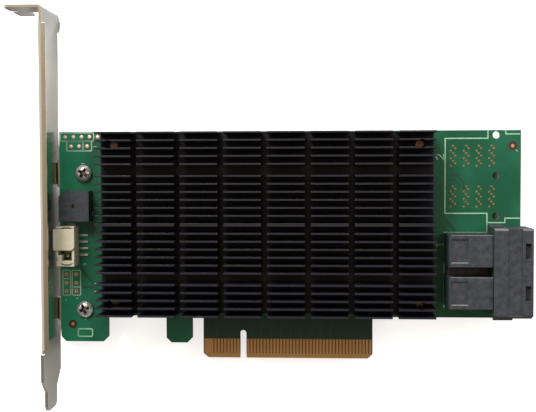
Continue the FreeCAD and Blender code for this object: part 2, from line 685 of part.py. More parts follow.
# Screws of one kind: shanks and heads, on the face called seat.  Heads that look down are on
# the solder side and stay plain; the others get a sloping rim and a cross recess.
def make_screws(label, spots, seat, length, diameter, head, downwards):
    body = new_body(label)
    head_diameter, head_height = head
    top = seat + head_height
    shanks = new_sketch(body, label + "_shanks", lift=seat)
    heads = new_sketch(body, label + "_heads", lift=seat)
    for x, y in spots:
        draw_circle(shanks, x, y, diameter)
        draw_circle(heads, x, y, head_diameter)
    pad(body, shanks, length, backwards=not downwards)
    padded = pad(body, heads, head_height, backwards=downwards)
    if downwards:
        return
    soften(body, "Chamfer", padded, size.screw_head_bevel, lambda edge, middle:
           near(middle.z, top) and near(edge.BoundBox.XLength, head_diameter))
    cross = new_sketch(body, label + "_cross", lift=top)
    half_wide = size.cross_width / 2
    half_long = size.cross_length / 2
    for x, y in spots:
        draw_polygon(cross, [
            (x - half_long, y - half_wide), (x - half_wide, y - half_wide),
            (x - half_wide, y - half_long), (x + half_wide, y - half_long),
            (x + half_wide, y - half_wide), (x + half_long, y - half_wide),
            (x + half_long, y + half_wide), (x + half_wide, y + half_wide),
            (x + half_wide, y + half_long), (x - half_wide, y + half_long),
            (x - half_wide, y + half_wide), (x - half_long, y + half_wide),
        ])
    pocket(body, cross, size.cross_depth)


# Extruded aluminium heat sink: base, 23 fins along the card, seven cross cuts, four bosses
def make_heat_sink():
    body = new_body("heat_sink")
    rise = size.sink_base + size.fin_rise
    base = new_sketch(body, "sink_base_outline", lift=sink_underside)
    draw_rectangle(base, sink_left, sink_low, size.sink_length, sink_high - sink_low)
    pad(body, base, size.sink_base)

    def fin(name, low, thickness):
        sketch = new_sketch(body, name, lift=sink_underside)
        draw_rectangle(sketch, sink_left, low, size.sink_length, thickness)
        return pad(body, sketch, rise)

    fin("middle_fin_outline", sink_middle_y - size.middle_fin / 2, size.middle_fin)
    half = size.fin_thickness / 2
    rows = (
        ("inner_fins_above", sink_middle_y + size.middle_pitch - half, size.fins_inner, False),
        ("inner_fins_below", sink_middle_y - size.middle_pitch - half, size.fins_inner, True),
        ("outer_fins_above", sink_high - size.fin_thickness, size.fins_outer, True),
        ("outer_fins_below", sink_low, size.fins_outer, False),
    )
    for name, low, count, downwards in rows:
        first = fin(name, low, size.fin_thickness)
        repeat(body, [first], "Y_Axis", size.fin_pitch, count, downwards)

    bosses = new_sketch(body, "boss_outline", lift=face)
    taps = new_sketch(body, "tap_outline", lift=face)
    for x, y in sink_screw_spots:
        draw_circle(bosses, x, y, size.boss_diameter)
        draw_circle(taps, x, y, size.sink_screw_diameter + size.thread_clearance * 2)
    pad(body, bosses, sink_gap + size.sink_base / 2)
    pocket(body, taps, sink_gap + rise + OVERCUT, backwards=True)

    first_cut = sink_middle_x - size.cut_pitch * (size.cuts - 1) / 2 - size.cut_width / 2
    cut = new_sketch(body, "cross_cut", lift=sink_underside + rise)
    draw_rectangle(cut, first_cut, sink_low - OVERCUT,
                   size.cut_width, sink_high - sink_low + OVERCUT * 2)
    groove = pocket(body, cut, size.fin_rise - size.cut_shy)
    repeat(body, [groove], "X_Axis", size.cut_pitch, size.cuts)


# Controller chip under the heat sink: package, metal lid and the pad that fills the gap
def make_controller():
    package = new_body("controller_package")
    outline = new_sketch(package, "package_outline", lift=face)
    draw_centred(outline, sink_middle_x, sink_middle_y, size.chip_side, size.chip_side)
    pad(package, outline, size.chip_thickness)

    lid = new_body("controller_lid")
    outline = new_sketch(lid, "lid_outline", lift=face + size.chip_thickness)
    draw_centred(outline, sink_middle_x, sink_middle_y, size.lid_side, size.lid_side)
    plate = pad(lid, outline, size.lid_thickness)
    soften(lid, "Fillet", plate, size.lid_corner, lambda edge, middle: runs_along(edge, "Z"))

    filler = new_body("thermal_pad")
    stack = size.chip_thickness + size.lid_thickness
    outline = new_sketch(filler, "thermal_pad_outline", lift=face + stack)
    draw_centred(outline, sink_middle_x, sink_middle_y, size.pad_side, size.pad_side)
    pad(filler, outline, size.pad_thickness)


# Memory chip with two rows of bent leads, and the crystal below it
def make_memory():
    case = new_body("memory_chip")
    middle_x = sink_middle_x + size.chip_side / 2 + size.memory_from_chip + size.memory_width / 2
    rise = sink_gap - size.memory_under_sink
    under = size.lead_thickness / 2
    outline = new_sketch(case, "memory_outline", lift=face + under)
    draw_centred(outline, middle_x, sink_middle_y, size.memory_width, size.memory_length)
    block = pad(case, outline, rise - under)
    soften(case, "Chamfer", block, size.lead_thickness, lambda edge, middle:
           near(middle.z, face + rise))

    leads = new_body("memory_leads")
    thick = size.lead_thickness
    shoulder = face + rise / 2
    row = size.lead_pitch * (size.leads_per_side - 1) + size.lead_width
    first = sink_middle_y - row / 2
    for name, side in (("left", -1), ("right", 1)):
        leg = new_sketch(leads, "memory_lead_" + name, "XZ_Plane", -first)
        root = middle_x + size.memory_width / 2 * side
        knee = root + size.lead_knee * side
        toe = root + size.lead_reach * side
        draw_polygon(leg, [
            (root, shoulder), (knee + thick * side, shoulder),
            (knee + thick * side, face + thick), (toe, face + thick),
            (toe, face), (knee, face), (knee, shoulder - thick), (root, shoulder - thick),
        ])
        lead = pad(leads, leg, size.lead_width, backwards=True)
        repeat(leads, [lead], "Y_Axis", size.lead_pitch, size.leads_per_side)

    crystal = new_body("clock_crystal")
    outline = new_sketch(crystal, "crystal_outline", lift=face)
    high = sink_middle_y - size.memory_length / 2 - size.crystal_from_memory
    draw_rectangle(outline, middle_x - size.crystal_length / 2, high - size.crystal_width,
                   size.crystal_length, size.crystal_width)
    can = pad(crystal, outline, size.crystal_rise)
    soften(crystal, "Fillet", can, size.crystal_corner,
           lambda edge, middle: runs_along(edge, "Z"))


# Supply stages in a column beside the controller: regulator, inductor and two capacitors each
def make_supplies():
    coil_x = sink_middle_x - size.chip_side / 2 - size.supply_from_chip
    first_y = sink_middle_y - size.supply_pitch * (size.supplies - 1) / 2

    coils = new_body("power_inductors")
    outline = new_sketch(coils, "coil_outline", lift=face)
    draw_centred(outline, coil_x, first_y, size.coil_side, size.coil_side)
    block = pad(coils, outline, sink_gap - size.coil_under_sink)
    cornered = soften(coils, "Chamfer", block, size.coil_corner,
                      lambda edge, middle: runs_along(edge, "Z"))
    repeat(coils, [block, cornered], "Y_Axis", size.supply_pitch, size.supplies)

    regulators = new_body("voltage_regulators")
    outline = new_sketch(regulators, "regulator_outline", lift=face)
    regulator_right = coil_x - size.coil_side / 2 - size.regulator_from_coil
    regulator_x = regulator_right - size.regulator_side / 2
    draw_centred(outline, regulator_x, first_y, size.regulator_side, size.regulator_side)
    block = pad(regulators, outline, size.regulator_rise)
    repeat(regulators, [block], "Y_Axis", size.supply_pitch, size.supplies)

    capacitors = new_body("ceramic_capacitors")
    outline = new_sketch(capacitors, "capacitor_outline", lift=face)
    low = first_y + size.coil_side / 2 + size.capacitor_from_coil
    half_gap = size.capacitor_gap / 2
    for left in (coil_x - half_gap - size.capacitor_length, coil_x + half_gap):
        draw_rectangle(outline, left, low, size.capacitor_length, size.capacitor_width)
    block = pad(capacitors, outline, size.capacitor_rise)
    repeat(capacitors, [block], "Y_Axis", size.supply_pitch, size.supplies)


# Buzzer: square case with a round chamber, diaphragm, coil on its base, four solder tabs
def make_buzzer():
    half = size.buzzer_side / 2
    left, right = buzzer_middle_x - half, buzzer_middle_x + half
    low, high = buzzer_middle_y - half, buzzer_middle_y + half
    roof_under = size.buzzer_rise - size.buzzer_roof
    plate_level = roof_under - size.air_gap
    chamber = size.buzzer_side - size.buzzer_wall * 2

    case = new_body("buzzer_case")
    outline = new_sketch(case, "buzzer_outline", lift=face)
    draw_polygon(outline, [
        (left, low), (right, low), (right, high),
        (left + size.buzzer_chamfer, high), (left, high - size.buzzer_chamfer),
    ])
    pad(case, outline, size.buzzer_rise)
    for name, diameter, depth in (
        ("buzzer_chamber", chamber, plate_level),
        ("buzzer_throat", chamber - size.diaphragm_ledge * 2, roof_under),
        ("buzzer_sound_hole", size.sound_hole, size.buzzer_rise),
    ):
        round_hole = new_sketch(case, name, lift=face)
        draw_circle(round_hole, buzzer_middle_x, buzzer_middle_y, diameter)
        pocket(case, round_hole, depth, backwards=True)

    tabs = new_body("buzzer_terminals")
    tab_outline = new_sketch(tabs, "buzzer_terminal_outline", lift=face)
    tab_slots = new_sketch(case, "buzzer_terminal_slots", lift=face)
    tab_length = size.terminal_reach + size.buzzer_wall
    for sketch in (tab_outline, tab_slots):
        for x in (left - size.terminal_reach, right - size.buzzer_wall):
            for side in (-1, 1):
                middle = buzzer_middle_y + size.terminal_spacing / 2 * side
                draw_rectangle(sketch, x, middle - size.terminal_width / 2,
                               tab_length, size.terminal_width)
    pocket(case, tab_slots, size.lead_thickness, backwards=True)
    pad(tabs, tab_outline, size.lead_thickness)

    base = new_body("buzzer_base")
    outline = new_sketch(base, "buzzer_base_outline", lift=face)
    draw_circle(outline, buzzer_middle_x, buzzer_middle_y, chamber - size.pin_clearance * 2)
    pad(base, outline, size.buzzer_floor)
    coil = new_body("buzzer_coil")
    outline = new_sketch(coil, "buzzer_coil_outline", lift=face + size.buzzer_floor)
    draw_circle(outline, buzzer_middle_x, buzzer_middle_y, size.buzzer_coil_diameter)
    coil_top = plate_level - size.diaphragm_thickness - size.running_gap
    pad(coil, outline, coil_top - size.buzzer_floor)
    diaphragm = new_body("buzzer_diaphragm")
    outline = new_sketch(diaphragm, "diaphragm_outline", lift=face + plate_level)
    draw_circle(outline, buzzer_middle_x, buzzer_middle_y, chamber - size.diaphragm_slack)
    pad(diaphragm, outline, size.diaphragm_thickness, backwards=True)


# Four-pin header: open-topped housing, bent pins, solder anchors and the pick-up cap on top
def make_header():
    left = -size.board_left + size.header_from_left
    right = left + size.header_width
    well_left = left + size.header_rear_wall
    well_width = size.header_width - size.header_rear_wall - size.header_front_wall
    middle_x = well_left + well_width / 2
    low = header_middle_y - header_length / 2
    high = low + header_length
    first_pin = header_middle_y - size.pin_pitch * (size.pins - 1) / 2
    pin_hole = size.pin_side + size.pin_clearance * 2
    pin_top = size.header_rise - size.cap_plug_depth - size.pin_below_cap
    rim = face + size.header_rise

    housing = new_body("header_housing")
    outline = new_sketch(housing, "housing_outline", lift=face)
    draw_rectangle(outline, left, low, size.header_width, header_length)
    pad(housing, outline, size.header_rise)
    well = new_sketch(housing, "housing_well", lift=rim)
    well_right = well_left + well_width
    well_low = low + size.header_end_wall
    well_high = well_low + well_length
    thin_low = low + size.header_thin_from_end
    thin_high = high - size.header_thin_from_end
    draw_polygon(well, [
        (well_right, well_low), (well_right, well_high),
        (well_left, well_high), (well_left, thin_high),
        (left + size.header_thin_wall, thin_high), (left + size.header_thin_wall, thin_low),
        (well_left, thin_low), (well_left, well_low),
    ])
    pocket(housing, well, size.header_rise - size.header_floor)
    nicks = new_sketch(housing, "housing_nicks", lift=rim)
    grooves = new_sketch(housing, "housing_grooves", lift=rim)
    for end, side in ((low, -1), (high, 1)):
        draw_centred(nicks, left, end - size.nick_from_end * side,
                     size.nick_depth * 2, size.nick_width)
        outer = end - size.groove_from_end * side
        inner = outer - size.groove_width * side
        half = size.groove_length / 2
        bow = size.groove_bow * side
        draw_polygon(grooves, [
            (middle_x - half, outer - bow), (middle_x - half / 2, outer),
            (middle_x + half / 2, outer), (middle_x + half, outer - bow),
            (middle_x + half, inner - bow), (middle_x + half / 2, inner),
            (middle_x - half / 2, inner), (middle_x - half, inner - bow),
        ])
    pocket(housing, nicks, size.header_rise + OVERCUT)
    pocket(housing, grooves, size.groove_depth)
    pin_hole_outline = new_sketch(housing, "housing_pin_hole", lift=face)
    draw_centred(pin_hole_outline, middle_x, first_pin, pin_hole, pin_hole)
    hole = pocket(housing, pin_hole_outline, size.header_floor + OVERCUT, backwards=True)
    lead_slot = new_sketch(housing, "housing_lead_slot", lift=face)
    draw_rectangle(lead_slot, middle_x, first_pin - pin_hole / 2, size.header_width, pin_hole)
    groove = pocket(housing, lead_slot, size.pin_lead_thickness + size.pin_clearance,
                    backwards=True)
    repeat(housing, [hole, groove], "Y_Axis", size.pin_pitch, size.pins)

    pins = new_body("header_pins")
    half = size.pin_side / 2
    pin = new_sketch(pins, "pin_outline", "XZ_Plane", half - first_pin)
    lead_top = face + size.pin_lead_thickness
    draw_polygon(pin, [
        (middle_x - half, face), (right + size.pin_reach, face),
        (right + size.pin_reach, lead_top), (middle_x + half, lead_top),
        (middle_x + half, face + pin_top), (middle_x - half, face + pin_top),
    ])
    post = pad(pins, pin, size.pin_side, backwards=True)
    repeat(pins, [post], "Y_Axis", size.pin_pitch, size.pins)

    anchors = new_body("header_anchors")
    feet = new_sketch(anchors, "anchor_outline", lift=face)
    for start in (low - size.anchor_reach, high):
        draw_rectangle(feet, middle_x - size.anchor_width / 2, start,
                       size.anchor_width, size.anchor_reach)
    pad(anchors, feet, size.anchor_rise)

    cap = new_body("header_cap")
    cap_left = left - size.cap_overhang
    cap_high = high - size.cap_below_end
    outline = new_sketch(cap, "cap_outline", lift=rim)
    draw_rectangle(outline, cap_left, cap_high - size.cap_side, size.cap_side, size.cap_side)
    plate = pad(cap, outline, size.cap_thickness)
    soften(cap, "Chamfer", plate, size.cap_corner, lambda edge, middle:
           runs_along(edge, "Z") and near(middle.x, cap_left + size.cap_side)
           and near(middle.y, cap_high - size.cap_side))
    plug = new_sketch(cap, "cap_plug", lift=rim)
    plug_width = well_width - size.cap_clearance * 2
    draw_rectangle(plug, middle_x - plug_width / 2,
                   well_high - size.cap_clearance - size.cap_plug_length,
                   plug_width, size.cap_plug_length)
    pad(cap, plug, size.cap_plug_depth, backwards=True)


# Frame of the two drive sockets: one moulding round both ports, standing on three pegs
def make_socket_frame():
    body = new_body("socket_frame")
    low = socket_middle - socket_width / 2
    top = face + socket_rise
    outline = new_sketch(body, "frame_outline", lift=face)
    draw_rectangle(outline, socket_rear, low, size.socket_depth, socket_width)
    pad(body, outline, socket_rise)
    skirt = new_sketch(body, "frame_skirt", lift=face)
    draw_rectangle(skirt, socket_rear, low - size.skirt,
                   size.rib_rear, socket_width + size.skirt * 2)
    pad(body, skirt, size.skirt_rise)
    band = new_sketch(body, "frame_band", lift=top)
    draw_rectangle(band, socket_rear + size.rib_rear, low - OVERCUT,
                   size.socket_depth - size.rib_rear - size.rib_front,
                   socket_width + OVERCUT * 2)
    pocket(body, band, size.rib_step)

    ports = new_sketch(body, "port_openings", "YZ_Plane", socket_end)
    noses = new_sketch(body, "nose_openings", "YZ_Plane", socket_end)
    latches = new_sketch(body, "latch_recesses", lift=top)
    slack = size.nose_clearance * 2
    for middle in port_middles:
        draw_centred(ports, middle, port_middle_z, port_width, port_height)
        draw_centred(noses, middle, port_middle_z, nose_width + slack, nose_height + slack)
        draw_rectangle(latches, socket_end - size.latch_from_front - size.latch_length,
                       middle - size.latch_width / 2, size.latch_length, size.latch_width)
    pocket(body, ports, size.socket_depth - size.port_rear_wall)
    pocket(body, noses, size.socket_depth + OVERCUT)
    cut = pocket(body, latches, size.port_roof - size.latch_floor)
    soften(body, "Chamfer", cut, size.rib_step, lambda edge, middle:
           near(middle.z, top) and runs_along(edge, "X"))
    pegs = new_sketch(body, "frame_pegs", lift=face)
    for step in (-1, 0, 1):
        draw_circle(pegs, peg_x, socket_middle + peg_pitch * step, size.peg_diameter)
    pad(body, pegs, size.peg_length, backwards=True)


# Contact block of one port: block behind the frame, nose inside the port with its card slot
def make_contact_block(label, middle):
    body = new_body(label)
    top = face + size.block_rise
    outline = new_sketch(body, label + "_outline", lift=face)
    draw_rectangle(outline, block_rear, middle - size.block_width / 2,
                   size.block_length, size.block_width)
    block = pad(body, outline, size.block_rise)
    soften(body, "Chamfer", block, size.block_chamfer, lambda edge, at:
           near(at.x, block_rear) and near(at.z, top))
    nose = new_sketch(body, label + "_nose", "YZ_Plane", socket_rear - OVERCUT)
    draw_centred(nose, middle, port_middle_z, nose_width, nose_height)
    reach = size.port_rear_wall + size.nose_reach
    pad(body, nose, reach + OVERCUT)
    slot = new_sketch(body, label + "_slot", "YZ_Plane", socket_rear + reach)
    draw_centred(slot, middle, port_middle_z, slot_width, size.slot_height)
    pocket(body, slot, slot_depth)
    recess = new_sketch(body, label + "_recess", lift=top)
    draw_rectangle(recess, block_rear + size.recess_from_rear, middle - size.recess_width / 2,
                   size.recess_length, size.recess_width)
    pocket(body, recess, size.recess_depth)


# Rows of contact springs on the upper and lower walls of each block's slot
def make_contact_springs():
    body = new_body("socket_contacts")
    tip = socket_rear + size.port_rear_wall + size.nose_reach - size.spring_tip
    row_width = size.spring_pitch * (size.springs - 1) + size.spring_width
    for port, middle in enumerate(port_middles, start=1):
        for name, side in (("over", 1), ("under", -1)):
            level = port_middle_z + size.slot_height / 2 * side
            row = new_sketch(body, "springs_%s_%d" % (name, port), lift=level)
            draw_rectangle(row, tip - size.spring_length, middle - row_width / 2,
                           size.spring_length, size.spring_width)
            spring = pad(body, row, size.spring_thickness, backwards=side > 0)
            repeat(body, [spring], "Y_Axis", size.spring_pitch, size.springs)


make_board()
make_edge_contacts("edge_contacts_front", face, size.contacts_joined, False)
make_edge_contacts("edge_contacts_back", rear_face, as_size(0), True)
make_bracket()
make_screws("bracket_screws", screw_spots, face, size.screw_length, size.screw_diameter,
            (size.screw_head_diameter, size.screw_head_height), False)
make_heat_sink()
make_screws("heat_sink_screws", sink_screw_spots, rear_face,
            size.board_thickness + sink_gap + size.sink_base, size.sink_screw_diameter,
            (size.sink_screw_head, size.sink_screw_head_height), True)
make_controller()
make_memory()
make_supplies()
make_buzzer()
make_header()
make_socket_frame()
for port_label, port_middle in zip(("contact_block_upper", "contact_block_lower"), port_middles):
    make_contact_block(port_label, port_middle)
make_contact_springs()
doc.recompute()

# Every object is checked before anything is written
for thing in doc.Objects:
    if "Invalid" in thing.State or "Error" in thing.State:
        raise RuntimeError("%s did not recompute: %s" % (thing.Name, thing.State))
nodes = [thing for thing in doc.Objects if thing.TypeId == "PartDesign::Body"]
for node in nodes:
    if node.Shape.isNull() or not node.Shape.isValid():
        raise RuntimeError("%s has no valid shape" % node.Label)

os.makedirs("parts", exist_ok=True)
for node in nodes:
    node.Shape.exportStep("parts/%s.step" % node.Label)
print("wrote %d pieces" % len(nodes))
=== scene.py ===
import math

import bmesh
import bpy
from mathutils import Matrix, Vector


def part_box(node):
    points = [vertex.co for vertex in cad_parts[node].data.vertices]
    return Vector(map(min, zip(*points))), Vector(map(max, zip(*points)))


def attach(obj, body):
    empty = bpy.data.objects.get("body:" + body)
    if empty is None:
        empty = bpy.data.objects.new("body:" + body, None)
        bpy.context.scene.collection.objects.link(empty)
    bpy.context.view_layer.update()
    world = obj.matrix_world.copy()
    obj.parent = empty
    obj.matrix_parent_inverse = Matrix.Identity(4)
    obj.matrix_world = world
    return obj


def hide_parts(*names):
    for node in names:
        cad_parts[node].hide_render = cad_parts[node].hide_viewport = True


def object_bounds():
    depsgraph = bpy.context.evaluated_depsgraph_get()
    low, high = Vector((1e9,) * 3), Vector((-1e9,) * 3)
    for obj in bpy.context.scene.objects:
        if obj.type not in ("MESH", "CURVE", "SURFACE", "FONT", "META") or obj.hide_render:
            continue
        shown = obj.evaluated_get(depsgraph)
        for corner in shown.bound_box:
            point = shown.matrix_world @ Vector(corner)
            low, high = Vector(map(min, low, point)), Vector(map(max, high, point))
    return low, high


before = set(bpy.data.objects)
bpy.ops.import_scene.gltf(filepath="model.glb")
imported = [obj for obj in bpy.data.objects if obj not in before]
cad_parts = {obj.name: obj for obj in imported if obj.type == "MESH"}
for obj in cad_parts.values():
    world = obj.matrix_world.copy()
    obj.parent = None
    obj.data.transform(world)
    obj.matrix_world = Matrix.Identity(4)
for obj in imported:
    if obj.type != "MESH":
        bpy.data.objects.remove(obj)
cad_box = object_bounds()


# The circuit board: glass-fibre laminate 1.57 mm thick under green solder mask. Its outline is
# routed, so the cut edges show the laminate. The mask is lighter in patches over the copper, and
# its top is lighter still at the bracket's end, a painted light. It is darker on the tongue, a
# painted shade under the heat sink, and stops short of the plated fingers.
MM = 0.001
BOARD_LOW, BOARD_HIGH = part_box("circuit_board")
FACE = BOARD_HIGH.z
REAR = BOARD_LOW.z
TONGUE_LEFT = -13.5 * MM
MASK_END = 6.05 * MM
MASK_TOP = 13.0 * MM
MASK_GREEN = (10, 80, 55)
MASK_GREEN_LIGHT = (16, 93, 65)
MASK_PAINTED_LIGHT = (28, 136, 100)
MASK_PAINTED_SHADE = (12, 50, 42)
LIGHT_FROM = -46.5 * MM
LIGHT_FULL = -53.5 * MM
COPPER_PATCH = 14 * MM
LAMINATE_EDGE = (96, 104, 70)
LAMINATE_BARE = (152, 114, 66)
LAMINATE_GAP = (82, 59, 38)
WEAVE_PITCH = 0.45 * MM
RIPPLE_SIZE = 1.5 * MM
RIPPLE_DEPTH = 0.006 * MM


def paint(red, green, blue):
    """A colour from a paint chart, 0 to 255 a channel, as the light that it sends back."""
    channels = []
    for value in (red, green, blue):
        share = value / 255
        channels.append(share / 12.92 if share < 0.04045 else ((share + 0.055) / 1.055) ** 2.4)
    return (*channels, 1)


def wire(tree, kind, feeds=None, **settings):
    """Adds a shader node. Each input gets a value, or the output that feeds it."""
    node = tree.nodes.new("ShaderNode" + kind)
    for label, value in settings.items():
        setattr(node, label, value)
    for key, value in (feeds or {}).items():
        if isinstance(value, bpy.types.NodeSocket):
            tree.links.new(value, node.inputs[key])
        else:
            node.inputs[key].default_value = value
    return node


def place_on(tree):
    """A point's place on the object, which the finishes go by."""
    return wire(tree, "TexCoord").outputs["Object"]


def split(tree, vector):
    """The X, Y and Z of a vector."""
    return wire(tree, "SeparateXYZ", {0: vector}).outputs


def noise(tree, place, scale, detail):
    """Soft patches from 0 to 1."""
    return wire(tree, "TexNoise", {"Vector": place, "Scale": scale, "Detail": detail}).outputs["Fac"]


def blend(tree, share, first, second):
    """Mixes two colours by share."""
    return wire(tree, "MixRGB", {"Fac": share, "Color1": first, "Color2": second}).outputs[0]


def measure(tree, operation, first, second=0.0):
    """One step of arithmetic on shader values."""
    return wire(tree, "Math", {0: first, 1: second}, operation=operation).outputs[0]


def ramp(tree, value, start, end, low=0.0, high=1.0, curve="LINEAR"):
    """Goes from low to high while the value goes from start to end, and stays there beyond."""
    feeds = {"Value": value, "From Min": start, "From Max": end, "To Min": low, "To Max": high}
    return wire(tree, "MapRange", feeds, interpolation_type=curve).outputs["Result"]


def bump(tree, height, depth, **normal):
    """The surface's normal, tilted as by a relief of that depth."""
    feeds = {"Height": height, "Distance": depth, "Strength": 1.0, **normal}
    return wire(tree, "Bump", feeds).outputs["Normal"]


def new_material(name):
    """A material, its node tree and the shader in it."""
    material = bpy.data.materials.new(name)
    material.use_nodes = True
    return material, material.node_tree, material.node_tree.nodes["Principled BSDF"]


def dress(node, material):
    """Gives a CAD node its procedural finish."""
    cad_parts[node].data.materials.clear()
    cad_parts[node].data.materials.append(material)


board_finish, tree, shader = new_material("green_solder_mask")
where = split(tree, place_on(tree))
facing = split(tree, wire(tree, "NewGeometry").outputs["Normal"])["Z"]
cut_edge = measure(tree, "LESS_THAN", measure(tree, "ABSOLUTE", facing), 0.5)
below_mask = measure(tree, "LESS_THAN", where["Y"], MASK_END)
on_tongue = measure(tree, "GREATER_THAN", where["X"], TONGUE_LEFT)
unmasked = measure(tree, "MULTIPLY", below_mask, on_tongue)
copper = ramp(tree, noise(tree, place_on(tree), 1 / COPPER_PATCH, 3.0), 0.4, 0.6)
green = blend(tree, copper, paint(*MASK_GREEN), paint(*MASK_GREEN_LIGHT))
# Painted light: the mask's top is lighter towards the bracket's end.
painted_light = ramp(tree, where["X"], LIGHT_FROM, LIGHT_FULL)
painted_light = measure(tree, "MULTIPLY", painted_light, measure(tree, "GREATER_THAN", facing, 0.5))
green = blend(tree, painted_light, green, paint(*MASK_PAINTED_LIGHT))
# Painted shade: the mask is darker on the tongue, under the heat sink.
painted_shade_band = measure(tree, "LESS_THAN", where["Y"], MASK_TOP)
green = blend(tree, measure(tree, "MULTIPLY", painted_shade_band, on_tongue), green, paint(*MASK_PAINTED_SHADE))
tint = blend(tree, cut_edge, green, paint(*LAMINATE_EDGE))
level = measure(tree, "GREATER_THAN", measure(tree, "ABSOLUTE", facing), 0.98)
bare = blend(tree, level, paint(*LAMINATE_BARE), paint(*LAMINATE_GAP))
tint = blend(tree, unmasked, tint, bare)
tree.links.new(tint, shader.inputs["Base Color"])
weave = measure(
    tree,
    "MULTIPLY",
    measure(tree, "SINE", measure(tree, "MULTIPLY", where["X"], math.tau / WEAVE_PITCH)),
    measure(tree, "SINE", measure(tree, "MULTIPLY", where["Y"], math.tau / WEAVE_PITCH)),
)
height = measure(tree, "ADD", weave, noise(tree, place_on(tree), 1 / RIPPLE_SIZE, 3.0))
tree.links.new(bump(tree, height, RIPPLE_DEPTH), shader.inputs["Normal"])
roughness = measure(tree, "MAXIMUM", ramp(tree, copper, 0.0, 1.0, 0.32, 0.42), unmasked)
tree.links.new(roughness, shader.inputs["Roughness"])
shader.inputs["Specular IOR Level"].default_value = 0.4
dress("circuit_board", board_finish)


# Worn and shaded surface: colour that drifts in soft patches, grime and painted shade in the
# crevices, fine grain in the normal, and edges that are rounded by a hair and made lighter, partly
# by wear and partly as a painted highlight. Every moulding and plated piece uses it.
FLOAT = "NodeSocketFloat"
TINT = "NodeSocketColor"
SHADE_AND_GRIME_REACH = 1.5 * MM
SHADE_AND_GRIME_TINT = (16, 14, 14)


def new_group(name, takes, gives):
    """An empty shader node group with named inputs and outputs."""
    group = bpy.data.node_groups.new(name, "ShaderNodeTree")
    for label, kind, value in takes:
        socket = group.interface.new_socket(name=label, in_out="INPUT", socket_type=kind)
        socket.default_value = value
    for label, kind in gives:
        group.interface.new_socket(name=label, in_out="OUTPUT", socket_type=kind)
    entry = group.nodes.new("NodeGroupInput")
    leave = group.nodes.new("NodeGroupOutput")
    return group, entry.outputs, leave.inputs


worn_and_shaded_surface, entry, leave = new_group(
    "worn_and_shaded_surface",
    [
        ("Colour", TINT, (0.5, 0.5, 0.5, 1)),
        ("Shade", TINT, (0.4, 0.4, 0.4, 1)),
        ("Edge wear and highlight colour", TINT, (0.7, 0.7, 0.7, 1)),
        ("Rubbing", FLOAT, 0.3),
        ("Patch size", FLOAT, 5 * MM),
        ("Grain size", FLOAT, 0.2 * MM),
        ("Grain depth", FLOAT, 0.01 * MM),
        ("Edge radius", FLOAT, 0.1 * MM),
        ("Dirt", FLOAT, 0.5),
    ],
    [("Colour", TINT), ("Patches", FLOAT), ("Normal", "NodeSocketVector")],
)
place = place_on(worn_and_shaded_surface)
patch_scale = measure(worn_and_shaded_surface, "DIVIDE", 1.0, entry["Patch size"])
grain_scale = measure(worn_and_shaded_surface, "DIVIDE", 1.0, entry["Grain size"])
drift = ramp(worn_and_shaded_surface, noise(worn_and_shaded_surface, place, patch_scale, 4.0), 0.3, 0.7)
grain = noise(worn_and_shaded_surface, place, grain_scale, 2.0)
soft_normal = wire(worn_and_shaded_surface, "Bevel", {"Radius": entry["Edge radius"]}, samples=4).outputs["Normal"]
plain = wire(worn_and_shaded_surface, "NewGeometry").outputs["Normal"]
likeness = wire(worn_and_shaded_surface, "VectorMath", {0: soft_normal, 1: plain}, operation="DOT_PRODUCT")
# The edge is made lighter, partly by wear and partly as a painted highlight.
edge = ramp(worn_and_shaded_surface, likeness.outputs["Value"], 0.99, 0.8)
edge = measure(worn_and_shaded_surface, "MULTIPLY", edge, entry["Rubbing"])
edge = measure(worn_and_shaded_surface, "MULTIPLY", edge, measure(worn_and_shaded_surface, "ADD", drift, 0.4))
body_tint = blend(worn_and_shaded_surface, drift, entry["Colour"], entry["Shade"])
# Painted shade and grime: the colour darkens where the surface is hemmed in.
crevice_shade = wire(worn_and_shaded_surface, "AmbientOcclusion", {"Distance": SHADE_AND_GRIME_REACH}, samples=6).outputs["AO"]
crevice_shade = measure(worn_and_shaded_surface, "MULTIPLY", ramp(worn_and_shaded_surface, crevice_shade, 0.85, 0.35), entry["Dirt"])
body_tint = blend(worn_and_shaded_surface, crevice_shade, body_tint, paint(*SHADE_AND_GRIME_TINT))
worn_and_shaded_surface.links.new(blend(worn_and_shaded_surface, edge, body_tint, entry["Edge wear and highlight colour"]), leave["Colour"])
worn_and_shaded_surface.links.new(drift, leave["Patches"])
tilted = bump(worn_and_shaded_surface, grain, entry["Grain depth"], Normal=soft_normal)
worn_and_shaded_surface.links.new(tilted, leave["Normal"])


def worn_and_shaded_skin(tree, colour, shade, edge_wear_and_highlight_colour, **sizes):
    """Adds the worn and shaded surface to a material, with its colours and sizes, and gives its
    outputs.
    """
    skin = tree.nodes.new("ShaderNodeGroup")
    skin.node_tree = worn_and_shaded_surface
    skin.inputs["Colour"].default_value = paint(*colour)
    skin.inputs["Shade"].default_value = paint(*shade)
    skin.inputs["Edge wear and highlight colour"].default_value = paint(*edge_wear_and_highlight_colour)
    for label, value in sizes.items():
        skin.inputs[label.replace("_", " ").capitalize()].default_value = value
    return skin.outputs


def finish(name, colour, shade, edge_wear_and_highlight_colour, roughness, metallic=0.0, **sizes):
    """A worn material with painted shade in its crevices and partly painted edge highlights, whose
    roughness drifts between the two numbers given.
    """
    material, tree, shader = new_material(name)
    skin = worn_and_shaded_skin(tree, colour, shade, edge_wear_and_highlight_colour, **sizes)
    tree.links.new(skin["Colour"], shader.inputs["Base Color"])
    tree.links.new(ramp(tree, skin["Patches"], 0.0, 1.0, *roughness), shader.inputs["Roughness"])
    tree.links.new(skin["Normal"], shader.inputs["Normal"])
    shader.inputs["Metallic"].default_value = metallic
    return material


